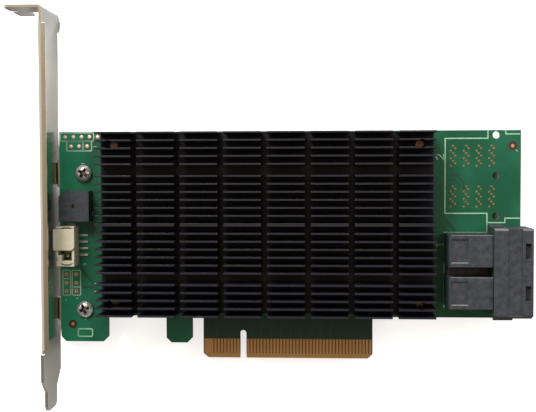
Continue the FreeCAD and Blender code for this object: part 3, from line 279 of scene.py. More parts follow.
# White print on the solder mask: outlines of the parts that could be fitted, and a plain number
# beside each drive port. It is screen-printed ink, a hair thick. Lists of places, here and further
# down, are in millimetres.
PRINT_WIDTH = 0.34 * MM
NUMBER_WIDTH = 0.3 * MM
MARK_WIDTH = 0.25 * MM
PRINT_HEIGHT = 0.03 * MM
CORNER = 0.35 * MM
print_finish = finish(
    "white_print",
    (168, 200, 178),
    (140, 182, 154),
    (190, 214, 196),
    (0.5, 0.7),
    patch_size=1.2 * MM,
    grain_size=0.15 * MM,
    grain_depth=0.01 * MM,
    rubbing=0.0,
    edge_radius=0.01 * MM,
)


def arc(middle, radius, start, end, steps):
    """Points along part of a circle, with its angles in degrees."""
    points = []
    for step in range(steps + 1):
        angle = math.radians(start + (end - start) * step / steps)
        points.append(
            (middle[0] + radius * math.cos(angle), middle[1] + radius * math.sin(angle))
        )
    return points


def frame_line(left, bottom, right, top, radius):
    """The corner points of a rectangle with rounded corners."""
    corners = [
        (right - radius, top - radius, 0),
        (left + radius, top - radius, 90),
        (left + radius, bottom + radius, 180),
        (right - radius, bottom + radius, 270),
    ]
    points = []
    for x, y, angle in corners:
        points += arc((x, y), radius, angle, angle + 90, 3)
    return points


def draw_line(mesh, points, width, low, high, closed=False):
    """Adds a flat line to a mesh, with its corners mitred, from height low to height high."""
    count = len(points)
    rows = []
    for index, (x, y) in enumerate(points):
        before = points[index - 1] if closed or index else None
        after = points[(index + 1) % count] if closed or index < count - 1 else None
        ways = []
        if before:
            ways.append(Vector((x - before[0], y - before[1])).normalized())
        if after:
            ways.append(Vector((after[0] - x, after[1] - y)).normalized())
        along = sum(ways, Vector((0, 0))).normalized()
        across = Vector((-along.y, along.x))
        reach = width / 2 / max(along.dot(ways[0]), 0.5)
        left = Vector((x, y)) + across * reach
        right = Vector((x, y)) - across * reach
        rows.append([mesh.verts.new((p.x, p.y, z)) for p, z in
                     ((left, low), (left, high), (right, high), (right, low))])
    steps = count if closed else count - 1
    for index in range(steps):
        here = rows[index]
        ahead = rows[(index + 1) % count]
        for side in range(4):
            other = (side + 1) % 4
            mesh.faces.new((here[side], here[other], ahead[other], ahead[side]))
    if not closed:
        mesh.faces.new(rows[0])
        mesh.faces.new(list(reversed(rows[-1])))


def new_piece(name, mesh, material, smooth=False):
    """Makes a bmesh an object with one finish, and leaves it at the origin."""
    bmesh.ops.recalc_face_normals(mesh, faces=mesh.faces)
    data = bpy.data.meshes.new(name)
    mesh.to_mesh(data)
    mesh.free()
    piece = bpy.data.objects.new(name, data)
    bpy.context.scene.collection.objects.link(piece)
    if material:
        data.materials.append(material)
    if smooth:
        data.shade_smooth()
        data.set_sharp_from_angle(angle=math.radians(38))
    return piece


def mounted(piece, slot, *nodes):
    """Fixes a piece to the card and hides the CAD nodes that it stands for. Its slot is not used."""
    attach(piece, "root")
    if nodes:
        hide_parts(*nodes)


def in_mm(points):
    """Points that are written in millimetres."""
    return [(x * MM, y * MM) for x, y in points]


def at_height(points, height):
    """Points that are written in millimetres, all at one height."""
    return [(x * MM, y * MM, height) for x, y in points]


ink = bmesh.new()
PRINTED_BOXES = [
    (-55.8, 66.11, -45.5, 68.6),
    (-53.86, 63.11, -46.2, 66.0),
    (-55.46, 18.9, -53.1, 26.58),
    (-52.55, 18.9, -50.0, 26.58),
    (-50.9, 6.25, -46.45, 8.55),
]
for left, bottom, right, top in PRINTED_BOXES:
    outline = frame_line(left * MM, bottom * MM, right * MM, top * MM, CORNER)
    draw_line(ink, outline, PRINT_WIDTH, FACE, FACE + PRINT_HEIGHT, closed=True)
PRINTED_LINES = [
    [(-48.8, 63.11), (-48.8, 66.0)],
    [(-55.46, 24.02), (-53.1, 24.02)],
    [(-52.55, 21.44), (-50.0, 21.44)],
    [(73.25, 68.8), (73.25, 66.46), (60.65, 66.46), (60.65, 44.08), (73.1, 44.08), (73.1, 41.3),
     (78.4, 41.3), (78.4, 42.65), (82.8, 42.65)],
    [(78.5, 68.8), (78.5, 67.7), (82.8, 67.7)],
    [(73.1, 41.3), (73.1, 38.3), (60.5, 38.3), (60.5, 15.7)],
]
for line in PRINTED_LINES:
    draw_line(ink, in_mm(line), PRINT_WIDTH, FACE, FACE + PRINT_HEIGHT)
NUMBER_FOOT = 60.2
NUMBER_SQUEEZE = 0.8
NUMBER_TWO = [(0.05, 2.05), (0.2, 2.5), (0.75, 2.75), (1.3, 2.5), (1.45, 2.0), (1.2, 1.4),
              (0.05, 0.05), (1.6, 0.05)]
NUMBER_ONE = [(0.25, 2.1), (0.85, 2.75), (0.85, 0.05)]
NUMBER_ONE_FOOT = [(0.3, 0.05), (1.4, 0.05)]
NUMBER_STROKES = [(60.2, NUMBER_TWO), (33.9, NUMBER_ONE), (33.9, NUMBER_ONE_FOOT)]
for start, stroke in NUMBER_STROKES:
    route = in_mm([(NUMBER_FOOT - up * NUMBER_SQUEEZE, start + along) for along, up in stroke])
    draw_line(ink, route, NUMBER_WIDTH, FACE, FACE + PRINT_HEIGHT)
SMALL_MARKS = [
    [(-54.9, 17.4), (-54.2, 17.4)],
    [(-51.4, 17.9), (-50.8, 17.9)],
    [(-45.6, 64.4), (-44.6, 64.4)],
    [(-45.7, 22.5), (-44.9, 22.5)],
    [(-45.7, 20.1), (-44.9, 20.1)],
    [(-49.4, 59.3), (-48.5, 59.3)],
    [(-49.1, 28.9), (-48.4, 28.5), (-49.1, 28.1)],
    [(81.5, 63.0), (82.0, 62.5)],
    [(-48.9, 11.4), (-48.2, 11.4)],
]
for line in SMALL_MARKS:
    draw_line(ink, in_mm(line), MARK_WIDTH, FACE, FACE + PRINT_HEIGHT)
mounted(new_piece("printed_marks", ink, print_finish), "board_laminate")


# Copper tracks under the solder mask: wide ones beside the connectors, and thin ones that fan out
# from the fingers over the tongue. They stand a hair proud of the board and differ a little from
# its green, because the copper shows through the thin mask above them.
TRACK_HEIGHT = 0.025 * MM
TRACK_SURFACE = {
    "patch_size": 3 * MM,
    "grain_size": 0.4 * MM,
    "grain_depth": 0.004 * MM,
    "rubbing": 0.2,
    "edge_radius": 0.02 * MM,
}
track_finish = finish(
    "masked_track", (10, 68, 46), (14, 75, 51), (22, 88, 60), (0.34, 0.42), **TRACK_SURFACE
)
# The tracks on the tongue are darker, to go with the mask's painted shade there.
fan_out_finish = finish(
    "masked_track_in_tongue_shade", (17, 54, 40), (15, 50, 37), (20, 60, 44), (0.34, 0.42), **TRACK_SURFACE
)
tracks = bmesh.new()
TRACK_ROUTES = [
    (0.9, [(57.9, 45.6), (62.3, 40.4), (63.8, 38.9)]),
    (0.7, [(57.9, 42.9), (60.6, 39.9), (60.6, 38.9)]),
    (0.8, [(62.0, 55.7), (64.1, 55.6), (66.2, 53.2), (66.2, 51.2)]),
    (0.6, [(61.9, 54.2), (63.6, 54.1), (64.8, 52.8), (64.8, 51.2)]),
    (0.9, [(-49.9, 27.2), (-46.1, 22.6), (-43.2, 22.6)]),
    (0.7, [(-49.6, 21.4), (-45.9, 21.4), (-43.2, 20.0)]),
]
for width, route in TRACK_ROUTES:
    draw_line(tracks, in_mm(route), width * MM, FACE, FACE + TRACK_HEIGHT)
mounted(new_piece("masked_tracks", tracks, track_finish), "board_laminate")
fan_out = bmesh.new()
FAN_OUT_WIDTH = 0.35 * MM
FAN_OUT_START = -11.2
FAN_OUT_PITCH = 3.0
FAN_OUT_COUNT = 13
BEFORE_NOTCH = 4
NOTCH_SHIFT = 1.6
FAN_OUT_ROUTE = [(0.0, 6.3), (0.0, 9.6), (0.8, 10.6), (0.8, 13.4)]
for step in range(FAN_OUT_COUNT):
    foot = FAN_OUT_START + FAN_OUT_PITCH * step
    if step >= BEFORE_NOTCH:
        foot += NOTCH_SHIFT
    route = in_mm([(foot + aside, up) for aside, up in FAN_OUT_ROUTE])
    draw_line(fan_out, route, FAN_OUT_WIDTH, FACE, FACE + TRACK_HEIGHT)
mounted(new_piece("fan_out_tracks", fan_out, fan_out_finish), "board_laminate")


# Plated holes: rings of gold-plated copper round the holes of the headers that aren't fitted, and
# small ones round the vias of the free drive port. A low dome of solder closes each hole of the
# upper header. The lower header's holes and the vias are open, with a tinned lining, and a dark
# disc in each, a painted shade, stands for the shade inside the hole.
VIA_RADIUS = 0.34 * MM
VIA_LINING = 0.18 * MM
VIA_HOLE = 0.1 * MM
VIA_FLOOR = 0.008 * MM
PAD_RADIUS = 0.72 * MM
PAD_HOLE = 0.46 * MM
PAD_FLOOR = 0.02 * MM
PAD_HEIGHT = 0.05 * MM
SQUARE_HALF = PAD_RADIUS * 0.94
DOME_RADIUS = PAD_HOLE * 1.2
DOME_RISE = 0.16 * MM
LINING_SHIFT = 0.05
plated_finish = finish(
    "plated_ring",
    (160, 116, 78),
    (122, 78, 54),
    (210, 176, 122),
    (0.25, 0.45),
    metallic=0.4,
    patch_size=0.5 * MM,
    grain_size=0.08 * MM,
    grain_depth=0.004 * MM,
    rubbing=0.3,
    edge_radius=0.03 * MM,
)
solder_finish = finish(
    "solder",
    (244, 242, 230),
    (216, 208, 188),
    (252, 250, 240),
    (0.25, 0.45),
    metallic=0.3,
    patch_size=0.4 * MM,
    grain_size=0.12 * MM,
    grain_depth=0.006 * MM,
    rubbing=0.3,
    edge_radius=0.03 * MM,
)

# The float sockets of a Random Value node are its fourth input and its second output.
copies = bpy.data.node_groups.new("copies_on_points", "GeometryNodeTree")
sockets = {}
for label, kind in (
    ("Points", "NodeSocketGeometry"),
    ("Shape", "NodeSocketObject"),
    ("Largest turn", "NodeSocketFloat"),
    ("Seed", "NodeSocketInt"),
    ("Finish", "NodeSocketMaterial"),
):
    sockets[label] = copies.interface.new_socket(name=label, in_out="INPUT", socket_type=kind)
copies.interface.new_socket(name="Result", in_out="OUTPUT", socket_type="NodeSocketGeometry")
given = copies.nodes.new("NodeGroupInput").outputs
result = copies.nodes.new("NodeGroupOutput").inputs
shape_info = copies.nodes.new("GeometryNodeObjectInfo")
spin = copies.nodes.new("FunctionNodeRandomValue")
upright = copies.nodes.new("ShaderNodeCombineXYZ")
place_copies = copies.nodes.new("GeometryNodeInstanceOnPoints")
realize = copies.nodes.new("GeometryNodeRealizeInstances")
coat = copies.nodes.new("GeometryNodeSetMaterial")
copies.links.new(given["Shape"], shape_info.inputs["Object"])
copies.links.new(given["Largest turn"], spin.inputs[3])
copies.links.new(given["Seed"], spin.inputs["Seed"])
copies.links.new(spin.outputs[1], upright.inputs["Z"])
copies.links.new(given["Points"], place_copies.inputs["Points"])
copies.links.new(shape_info.outputs["Geometry"], place_copies.inputs["Instance"])
copies.links.new(upright.outputs[0], place_copies.inputs["Rotation"])
copies.links.new(place_copies.outputs["Instances"], realize.inputs["Geometry"])
copies.links.new(realize.outputs["Geometry"], coat.inputs["Geometry"])
copies.links.new(given["Finish"], coat.inputs["Material"])
copies.links.new(coat.outputs["Geometry"], result["Result"])


def plain_copy(piece):
    """Replaces a piece's mesh by what its modifiers make of it, and takes them off."""
    graph = bpy.context.evaluated_depsgraph_get()
    data = bpy.data.meshes.new_from_object(piece.evaluated_get(graph))
    piece.modifiers.clear()
    piece.data = data


def repeat(name, shape, spots, material, turn=0.0, seed=0):
    """Sets a copy of shape on each spot, turned by chance up to turn, as one plain mesh."""
    data = bpy.data.meshes.new(name)
    data.from_pydata(spots, [], [])
    piece = bpy.data.objects.new(name, data)
    bpy.context.scene.collection.objects.link(piece)
    modifier = piece.modifiers.new("copies", "NODES")
    modifier.node_group = copies
    for label, value in (
        ("Shape", shape),
        ("Largest turn", turn),
        ("Seed", seed),
        ("Finish", material),
    ):
        modifier[sockets[label].identifier] = value
    plain_copy(piece)
    bpy.data.objects.remove(shape)
    return piece


def turned(name, profile, sides):
    """A shape from the lathe: profile holds (radius, height) points from the foot of the axis
    to its top."""
    mesh = bmesh.new()
    rings = []
    for radius, height in profile:
        ring = []
        for step in range(sides if radius > 0 else 1):
            angle = math.tau * step / sides
            ring.append(
                mesh.verts.new((radius * math.cos(angle), radius * math.sin(angle), height))
            )
        rings.append(ring)
    for lower, upper in zip(rings, rings[1:]):
        for step in range(sides):
            after = (step + 1) % sides
            corners = [
                lower[step % len(lower)],
                lower[after % len(lower)],
                upper[after % len(upper)],
                upper[step % len(upper)],
            ]
            mesh.faces.new(list(dict.fromkeys(corners)))
    return new_piece(name, mesh, None, smooth=True)


def disc(name, radius, height, sides):
    """A flat disc that stands on height nought."""
    return turned(name, [(0, 0), (radius, 0), (radius, height), (0, height)], sides)


def ring_shape(name, outer, inner, height, sides):
    """A flat ring with a square section, as plating round a hole."""
    mesh = bmesh.new()
    loops = []
    for radius, level in ((outer, 0), (outer, height), (inner, height), (inner, 0)):
        loops.append([
            mesh.verts.new((radius * math.cos(math.tau * step / sides),
                            radius * math.sin(math.tau * step / sides), level))
            for step in range(sides)
        ])
    for index in range(4):
        here = loops[index]
        ahead = loops[(index + 1) % 4]
        for step in range(sides):
            after = (step + 1) % sides
            mesh.faces.new((here[step], here[after], ahead[after], ahead[step]))
    return new_piece(name, mesh, None)


VIA_COLUMNS = (63.0, 66.87, 70.63, 74.39)
VIA_STARTS = (64.27, 52.09)
VIA_STEP = 0.75
VIA_STAGGER = (0.0, 0.67, -0.67)
VIAS_IN_COLUMN = 9


def via_pattern(shift=0.0):
    """The signal holes of a pair of drive ports in millimetres, moved along Y by shift."""
    return [
        (column + VIA_STAGGER[index % 3], start + shift - VIA_STEP * index)
        for column in VIA_COLUMNS
        for start in VIA_STARTS
        for index in range(VIAS_IN_COLUMN)
    ]


via_spots = [
    (x, y, z) for x, y in in_mm(via_pattern()) for z in (FACE, REAR - PAD_HEIGHT / 2)
]
via = ring_shape("via", VIA_RADIUS, VIA_HOLE, PAD_HEIGHT / 2, 12)
mounted(repeat("via_rings", via, via_spots, plated_finish), "gold_contacts")
lining_finish = finish(
    "dull_tin",
    (176, 168, 132),
    (140, 128, 96),
    (200, 194, 160),
    (0.4, 0.6),
    metallic=0.2,
    patch_size=0.4 * MM,
    grain_size=0.12 * MM,
    grain_depth=0.006 * MM,
    rubbing=0.2,
    edge_radius=0.03 * MM,
)
lining = ring_shape("lining", VIA_LINING, VIA_HOLE, PAD_HEIGHT * 0.8, 12)
lining_spots = [(x - LINING_SHIFT * MM, y + LINING_SHIFT * MM, z) for x, y, z in via_spots]
mounted(repeat("via_linings", lining, lining_spots, lining_finish), "tinned_leads")
# Painted shade: a dark disc stands for the shade inside each open hole.
hole_shade_finish = finish(
    "painted_hole_shade",
    (44, 34, 24),
    (30, 24, 20),
    (50, 40, 30),
    (0.6, 0.9),
    patch_size=0.5 * MM,
    grain_size=0.1 * MM,
    grain_depth=0.002 * MM,
    rubbing=0.0,
    edge_radius=0.01 * MM,
)
plug = disc("plug", VIA_HOLE, VIA_FLOOR, 12)
shade_disc_spots = [(x, y, z - (VIA_FLOOR / 2 if z < 0 else 0)) for x, y, z in via_spots]
mounted(repeat("via_holes", plug, shade_disc_spots, hole_shade_finish), "gold_contacts")

ROUND_PADS = [(-54.29, 67.35), (-51.79, 67.35), (-49.29, 67.35), (-46.8, 67.35),
              (-52.5, 64.5), (-50.05, 64.5),
              (-54.3, 22.7), (-54.3, 20.15), (-51.3, 25.3), (-51.3, 22.7)]
SQUARE_PADS = [(-44.3, 67.35), (-47.55, 64.5), (-54.3, 25.3), (-51.3, 20.15)]
FILLED_ABOVE = 40
both_faces = [FACE, REAR - PAD_HEIGHT]
pad = ring_shape("pad", PAD_RADIUS, PAD_HOLE, PAD_HEIGHT, 28)
pad_spots = [(x, y, z) for x, y in in_mm(ROUND_PADS) for z in both_faces]
mounted(repeat("pad_rings", pad, pad_spots, plated_finish), "gold_contacts")
square_pads = bmesh.new()
for x, y in in_mm(SQUARE_PADS):
    reach = SQUARE_HALF * 0.8
    line = frame_line(x - reach, y - reach, x + reach, y + reach, 0.1 * MM)
    for z in both_faces:
        draw_line(square_pads, line, SQUARE_HALF * 0.5, z, z + PAD_HEIGHT, closed=True)
mounted(new_piece("square_pads", square_pads, plated_finish), "gold_contacts")
filled = [spot for spot in ROUND_PADS + SQUARE_PADS if spot[1] > FILLED_ABOVE]
empty = [spot for spot in ROUND_PADS + SQUARE_PADS if spot[1] < FILLED_ABOVE]
dome_profile = [(0, 0.0), (DOME_RADIUS, 0.0)]
for across, up in arc((0.0, 0.0), 1.0, 15, 75, 4):
    dome_profile.append((DOME_RADIUS * across, PAD_HEIGHT + DOME_RISE * up))
dome_profile.append((0, PAD_HEIGHT + DOME_RISE))
dome = turned("dome", dome_profile, 24)
mounted(
    repeat("solder_domes", dome, at_height(filled, FACE), solder_finish, turn=math.tau, seed=3),
    "tinned_leads",
)
lining = ring_shape("lining", PAD_HOLE * 1.05, PAD_HOLE * 0.6, PAD_HEIGHT * 1.3, 24)
lining_spots = at_height([(x - LINING_SHIFT, y + LINING_SHIFT) for x, y in empty], FACE)
mounted(repeat("hole_linings", lining, lining_spots, solder_finish), "tinned_leads")
plug = disc("plug", PAD_HOLE, PAD_FLOOR, 24)
mounted(repeat("hole_floors", plug, at_height(empty, FACE), hole_shade_finish), "gold_contacts")


# Two target marks that the placing machine looks for: a gold dot in a round gap of the mask.
DOT_RADIUS = 0.5 * MM
GAP_RADIUS = 1.35 * MM
GAP_FLOOR = 0.012 * MM
TARGET_SPOTS = at_height([(-52.51, 10.04), (80.53, 64.2)], FACE)
gap_finish = finish(
    "bare_laminate_ring",
    (70, 34, 24),
    (50, 30, 24),
    (84, 48, 34),
    (0.5, 0.7),
    patch_size=0.8 * MM,
    grain_size=0.2 * MM,
    grain_depth=0.006 * MM,
    rubbing=0.0,
    edge_radius=0.01 * MM,
)
gap_disc = disc("gap", GAP_RADIUS, GAP_FLOOR, 36)
mounted(repeat("target_rings", gap_disc, TARGET_SPOTS, gap_finish), "board_laminate")
dot = disc("dot", DOT_RADIUS, PAD_HEIGHT, 24)
dot_finish = finish(
    "bright_gold",
    (206, 158, 92),
    (180, 132, 72),
    (230, 196, 140),
    (0.4, 0.6),
    metallic=0.1,
    patch_size=0.4 * MM,
    grain_size=0.1 * MM,
    grain_depth=0.004 * MM,
    rubbing=0.2,
    edge_radius=0.05 * MM,
)
mounted(repeat("target_dots", dot, TARGET_SPOTS, dot_finish), "gold_contacts")


# The fingers of the edge connector and the springs of the drive ports: hard gold over nickel, with
# fine wipe marks along their length from being pushed together with their mates.
WIPE_STRETCH = (9000, 700, 9000)
WIPE_DEPTH = 0.003 * MM
GOLD = (210, 166, 114)
GOLD_WIPED = (172, 130, 88)


def streaks(tree, stretch, detail):
    """Fine lines along one axis: patches that are drawn out by stretch, a number for each axis."""
    drawn_out = wire(tree, "Mapping", {"Vector": place_on(tree), "Scale": stretch})
    return noise(tree, drawn_out.outputs["Vector"], 1.0, detail)


finger_finish, tree, shader = new_material("hard_gold")
wipes = streaks(tree, WIPE_STRETCH, 2.0)
tree.links.new(blend(tree, wipes, paint(*GOLD), paint(*GOLD_WIPED)), shader.inputs["Base Color"])
tree.links.new(ramp(tree, wipes, 0.0, 1.0, 0.25, 0.5), shader.inputs["Roughness"])
tree.links.new(bump(tree, wipes, WIPE_DEPTH), shader.inputs["Normal"])
shader.inputs["Metallic"].default_value = 0.8
dress("edge_contacts_front", finger_finish)
dress("edge_contacts_back", finger_finish)
dress("socket_contacts", finger_finish)


# The bracket: one folded sheet of nickel-plated steel, 0.86 mm thick, with satin rolling marks
# along its length.
steel_finish = finish(
    "plated_steel",
    (208, 207, 203),
    (200, 198, 194),
    (232, 228, 216),
    (0.16, 0.28),
    metallic=1.0,
    dirt=0.0,
    patch_size=9 * MM,
    grain_size=0.7 * MM,
    grain_depth=0.003 * MM,
    rubbing=0.35,
    edge_radius=0.12 * MM,
)
dress("bracket", steel_finish)


# Two pan-head machine screws with a cross recess hold the board to the bracket's ears. They are
# cold-headed steel with a bright plate, and their thread is rolled.
chrome_finish = finish(
    "bright_plate",
    (244, 242, 238),
    (176, 168, 160),
    (252, 250, 246),
    (0.1, 0.28),
    metallic=0.75,
    dirt=1.4,
    patch_size=0.8 * MM,
    grain_size=0.25 * MM,
    grain_depth=0.012 * MM,
    rubbing=0.5,
    edge_radius=0.06 * MM,
)
HEAD_RADIUS = 2.45 * MM
SHANK_RADIUS = 1.45 * MM
THREAD_PITCH = 0.5 * MM
THREAD_DEPTH = 0.13 * MM
RECESS = (1.95 * MM, 0.85 * MM, 1.35 * MM)
RECESS_TURN = 12
PUNCH_ABOVE = 0.15 * MM
SCREW_SPOTS = at_height([(-48.56, 56.3), (-48.56, 14.75)], FACE)


def screw_shape(name, head_radius, head_height, shank_radius, length):
    """A screw that stands on its thread, with the underside of its head at height nought."""
    root_radius = shank_radius - THREAD_DEPTH
    profile = [(0, -length), (root_radius, -length)]
    for index in range(int(length / THREAD_PITCH)):
        low = -length + THREAD_PITCH * (index + 0.25)
        profile.append((root_radius, low))
        profile.append((shank_radius, low + THREAD_PITCH * 0.5))
    profile.append((root_radius, 0))
    profile.append((head_radius * 0.96, 0))
    profile.append((head_radius, head_height * 0.1))
    profile.append((head_radius, head_height * 0.5))
    for step in range(1, 8):
        inwards = step / 8
        profile.append((
            head_radius * (1 - 0.55 * inwards),
            head_height * (0.5 + 0.47 * (1 - (1 - inwards) ** 1.6)),
        ))
    profile.append((head_radius * 0.4, head_height * 0.985))
    profile.append((0, head_height))
    return turned(name, profile, 40)


def cross_punch(reach, width, depth, top):
    """The punch of a cross recess: four tapered blades that meet over a blunt point."""
    mesh = bmesh.new()
    for quarter in range(2):
        turn = Matrix.Rotation(math.radians(90 * quarter + RECESS_TURN), 3, "Z")
        corners = []
        for level, long_half, wide_half in (
            (top, reach, width * 0.62),
            (top - depth, reach * 0.45, width * 0.4),
        ):
            for sx, sy in ((-1, -1), (1, -1), (1, 1), (-1, 1)):
                corners.append(mesh.verts.new(turn @ Vector((sx * long_half, sy * wide_half, level))))
        low = corners[4:]
        high = corners[:4]
        mesh.faces.new(high)
        mesh.faces.new(list(reversed(low)))
        for side in range(4):
            other = (side + 1) % 4
            mesh.faces.new((high[side], low[side], low[other], high[other]))
    return new_piece("punch", mesh, None)


def crossed_screw(name, head_radius, head_height, shank_radius, length, recess):
    """A screw whose head has a cross recess: its reach, its width and its depth."""
    screw = screw_shape(name, head_radius, head_height, shank_radius, length)
    punch = cross_punch(*recess, head_height + PUNCH_ABOVE)
    modifier = screw.modifiers.new("cut", "BOOLEAN")
    modifier.operation = "DIFFERENCE"
    modifier.object = punch
    modifier.use_self = True
    plain_copy(screw)
    bpy.data.objects.remove(punch)
    screw.data.shade_smooth()
    screw.data.set_sharp_from_angle(angle=math.radians(34))
    return screw


low_end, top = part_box("bracket_screws")
screw = crossed_screw("screw", HEAD_RADIUS, top.z - FACE, SHANK_RADIUS, FACE - low_end.z, RECESS)
mounted(
    repeat("bracket_screws_crossed", screw, SCREW_SPOTS, chrome_finish, turn=1.2, seed=4),
    "screw_steel",
    "bracket_screws",
)


# The heat sink: one black-anodised aluminium extrusion, cross-cut with a saw into blocks of
# fins. The die leaves fine lines along the fins. The saw leaves crisp edges, made lighter partly by
# wear and partly as a painted highlight, and the gaps between the fins are given less shine than
# their tops, a painted shade in the reflection.
DIE_LINE_STRETCH = (60, 9000, 9000)
DIE_LINE_DEPTH = 0.004 * MM
SHADE_REACH = 3 * MM
sink_finish, tree, shader = new_material("black_anodised")
skin = worn_and_shaded_skin(
    tree,
    (28, 29, 40),
    (22, 22, 33),
    (124, 124, 132),
    patch_size=8 * MM,
    grain_size=0.12 * MM,
    grain_depth=0.004 * MM,
    rubbing=0.6,
    edge_radius=0.05 * MM,
)
die_lines = streaks(tree, DIE_LINE_STRETCH, 1.0)
tree.links.new(skin["Colour"], shader.inputs["Base Color"])
tilted = bump(tree, die_lines, DIE_LINE_DEPTH, Normal=skin["Normal"])
tree.links.new(tilted, shader.inputs["Normal"])
tree.links.new(ramp(tree, die_lines, 0.0, 1.0, 0.34, 0.5), shader.inputs["Roughness"])
# Painted shade in the reflection: the fins shine less where they are hemmed in.
gap_shine_shade = wire(tree, "AmbientOcclusion", {"Distance": SHADE_REACH}, samples=6).outputs["AO"]
tree.links.new(ramp(tree, gap_shine_shade, 0.5, 0.95, 0.08, 0.56), shader.inputs["Specular IOR Level"])
shader.inputs["Metallic"].default_value = 0.2
dress("heat_sink", sink_finish)


# Four brass screws come up from the solder side into tapped holes of the heat sink's base. Their
# heads sit on the board's underside, and their bare ends show between the fins.
brass_finish = finish(
    "turned_brass",
    (176, 136, 102),
    (128, 98, 74),
    (236, 214, 178),
    (0.22, 0.4),
    metallic=1.0,
    dirt=1.0,
    patch_size=0.7 * MM,
    grain_size=0.2 * MM,
    grain_depth=0.01 * MM,
    rubbing=0.6,
    edge_radius=0.08 * MM,
)
SINK_HEAD_RADIUS = 2.2 * MM
SINK_SHANK_RADIUS = 1.28 * MM
SINK_RECESS = (1.3 * MM, 0.5 * MM, 0.9 * MM)
SINK_SCREW_SPOTS = at_height([(x, y) for x in (-38.3, 52.65) for y in (17.9, 64.7)], REAR)
head_end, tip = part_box("heat_sink_screws")
sink_screw = crossed_screw(
    "sink_screw", SINK_HEAD_RADIUS, REAR - head_end.z, SINK_SHANK_RADIUS, tip.z - REAR, SINK_RECESS
)
sink_screw.data.transform(Matrix.Rotation(math.pi, 4, "X"))
mounted(
    repeat("sink_screws_crossed", sink_screw, SINK_SCREW_SPOTS, brass_finish, turn=1.4, seed=7),
    "brass_screws",
    "heat_sink_screws",
)


# What sits under the heat sink: the controller chip with its metal lid and soft thermal pad, the
# memory chip, the crystal, and the power supply's coils, regulators and capacitors.
moulding_finish = finish(
    "chip_moulding",
    (44, 44, 46),
    (36, 36, 38),
    (84, 84, 86),
    (0.5, 0.62),
    patch_size=3 * MM,
    grain_size=0.12 * MM,
    grain_depth=0.01 * MM,
    rubbing=0.3,
    edge_radius=0.08 * MM,
)
lid_finish = finish(
    "nickel_lid",
    (186, 184, 180),
    (170, 168, 164),
    (220, 218, 212),
    (0.3, 0.42),
    metallic=1.0,
    patch_size=5 * MM,
    grain_size=0.1 * MM,
    grain_depth=0.003 * MM,
    rubbing=0.3,
    edge_radius=0.1 * MM,
)
silicone_finish = finish(
    "thermal_silicone",
    (150, 162, 176),
    (136, 148, 164),
    (160, 172, 186),
    (0.7, 0.85),
    patch_size=2 * MM,
    grain_size=0.3 * MM,
    grain_depth=0.03 * MM,
    rubbing=0.0,
    edge_radius=0.1 * MM,
)
tin_finish = finish(
    "tin_plate",
    (206, 203, 202),
    (170, 165, 164),
    (234, 232, 228),
    (0.25, 0.42),
    metallic=0.5,
    patch_size=1.0 * MM,
    grain_size=0.15 * MM,
    grain_depth=0.006 * MM,
    rubbing=0.4,
    edge_radius=0.05 * MM,
)
iron_finish = finish(
    "pressed_iron",
    (96, 96, 98),
    (76, 76, 80),
    (124, 124, 126),
    (0.55, 0.7),
    patch_size=1.5 * MM,
    grain_size=0.18 * MM,
    grain_depth=0.02 * MM,
    rubbing=0.3,
    edge_radius=0.12 * MM,
)
dress("controller_package", moulding_finish)
dress("controller_lid", lid_finish)
dress("thermal_pad", silicone_finish)
dress("memory_chip", moulding_finish)
dress("memory_leads", tin_finish)
dress("clock_crystal", lid_finish)
dress("power_inductors", iron_finish)
dress("voltage_regulators", moulding_finish)
ceramic_finish = finish(
    "fired_ceramic",
    (172, 132, 92),
    (150, 112, 78),
    (210, 206, 196),
    (0.35, 0.5),
    patch_size=0.8 * MM,
    grain_size=0.15 * MM,
    grain_depth=0.006 * MM,
    rubbing=0.5,
    edge_radius=0.08 * MM,
)
dress("ceramic_capacitors", ceramic_finish)


# The buzzer: a square moulded case over its base, coil and steel diaphragm. The sound comes out
# of the small hole in the top, and four tinned tabs solder it to the board.
def rounded(node, name, radius, material, slot):
    """Stands for a CAD piece with a copy whose long sharp edges are rounded by a small radius."""
    mesh = bmesh.new()
    mesh.from_mesh(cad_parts[node].data)
    bmesh.ops.remove_doubles(mesh, verts=mesh.verts, dist=0.001 * MM)
    bmesh.ops.dissolve_limit(
        mesh, angle_limit=math.radians(1), verts=mesh.verts, edges=mesh.edges
    )
    sharp = [
        edge
        for edge in mesh.edges
        if edge.is_manifold
        and edge.calc_face_angle() > math.radians(50)
        and edge.calc_length() > 3 * radius
    ]
    bmesh.ops.bevel(
        mesh, geom=sharp, offset=radius, segments=3, profile=0.5, affect="EDGES", clamp_overlap=True
    )
    piece = new_piece(name, mesh, material, smooth=True)
    weights = piece.modifiers.new("flat faces stay flat", "WEIGHTED_NORMAL")
    weights.keep_sharp = True
    plain_copy(piece)
    mounted(piece, slot, node)


buzzer_finish = finish(
    "buzzer_moulding",
    (58, 63, 71),
    (40, 44, 52),
    (92, 94, 98),
    (0.4, 0.58),
    patch_size=1.4 * MM,
    grain_size=0.22 * MM,
    grain_depth=0.03 * MM,
    rubbing=0.25,
    edge_radius=0.12 * MM,
)
rounded("buzzer_case", "buzzer_case_moulding", 0.15 * MM, buzzer_finish, "buzzer_moulding")
dress("buzzer_base", buzzer_finish)
dress("buzzer_coil", brass_finish)
dress("buzzer_diaphragm", lid_finish)
dress("buzzer_terminals", tin_finish)


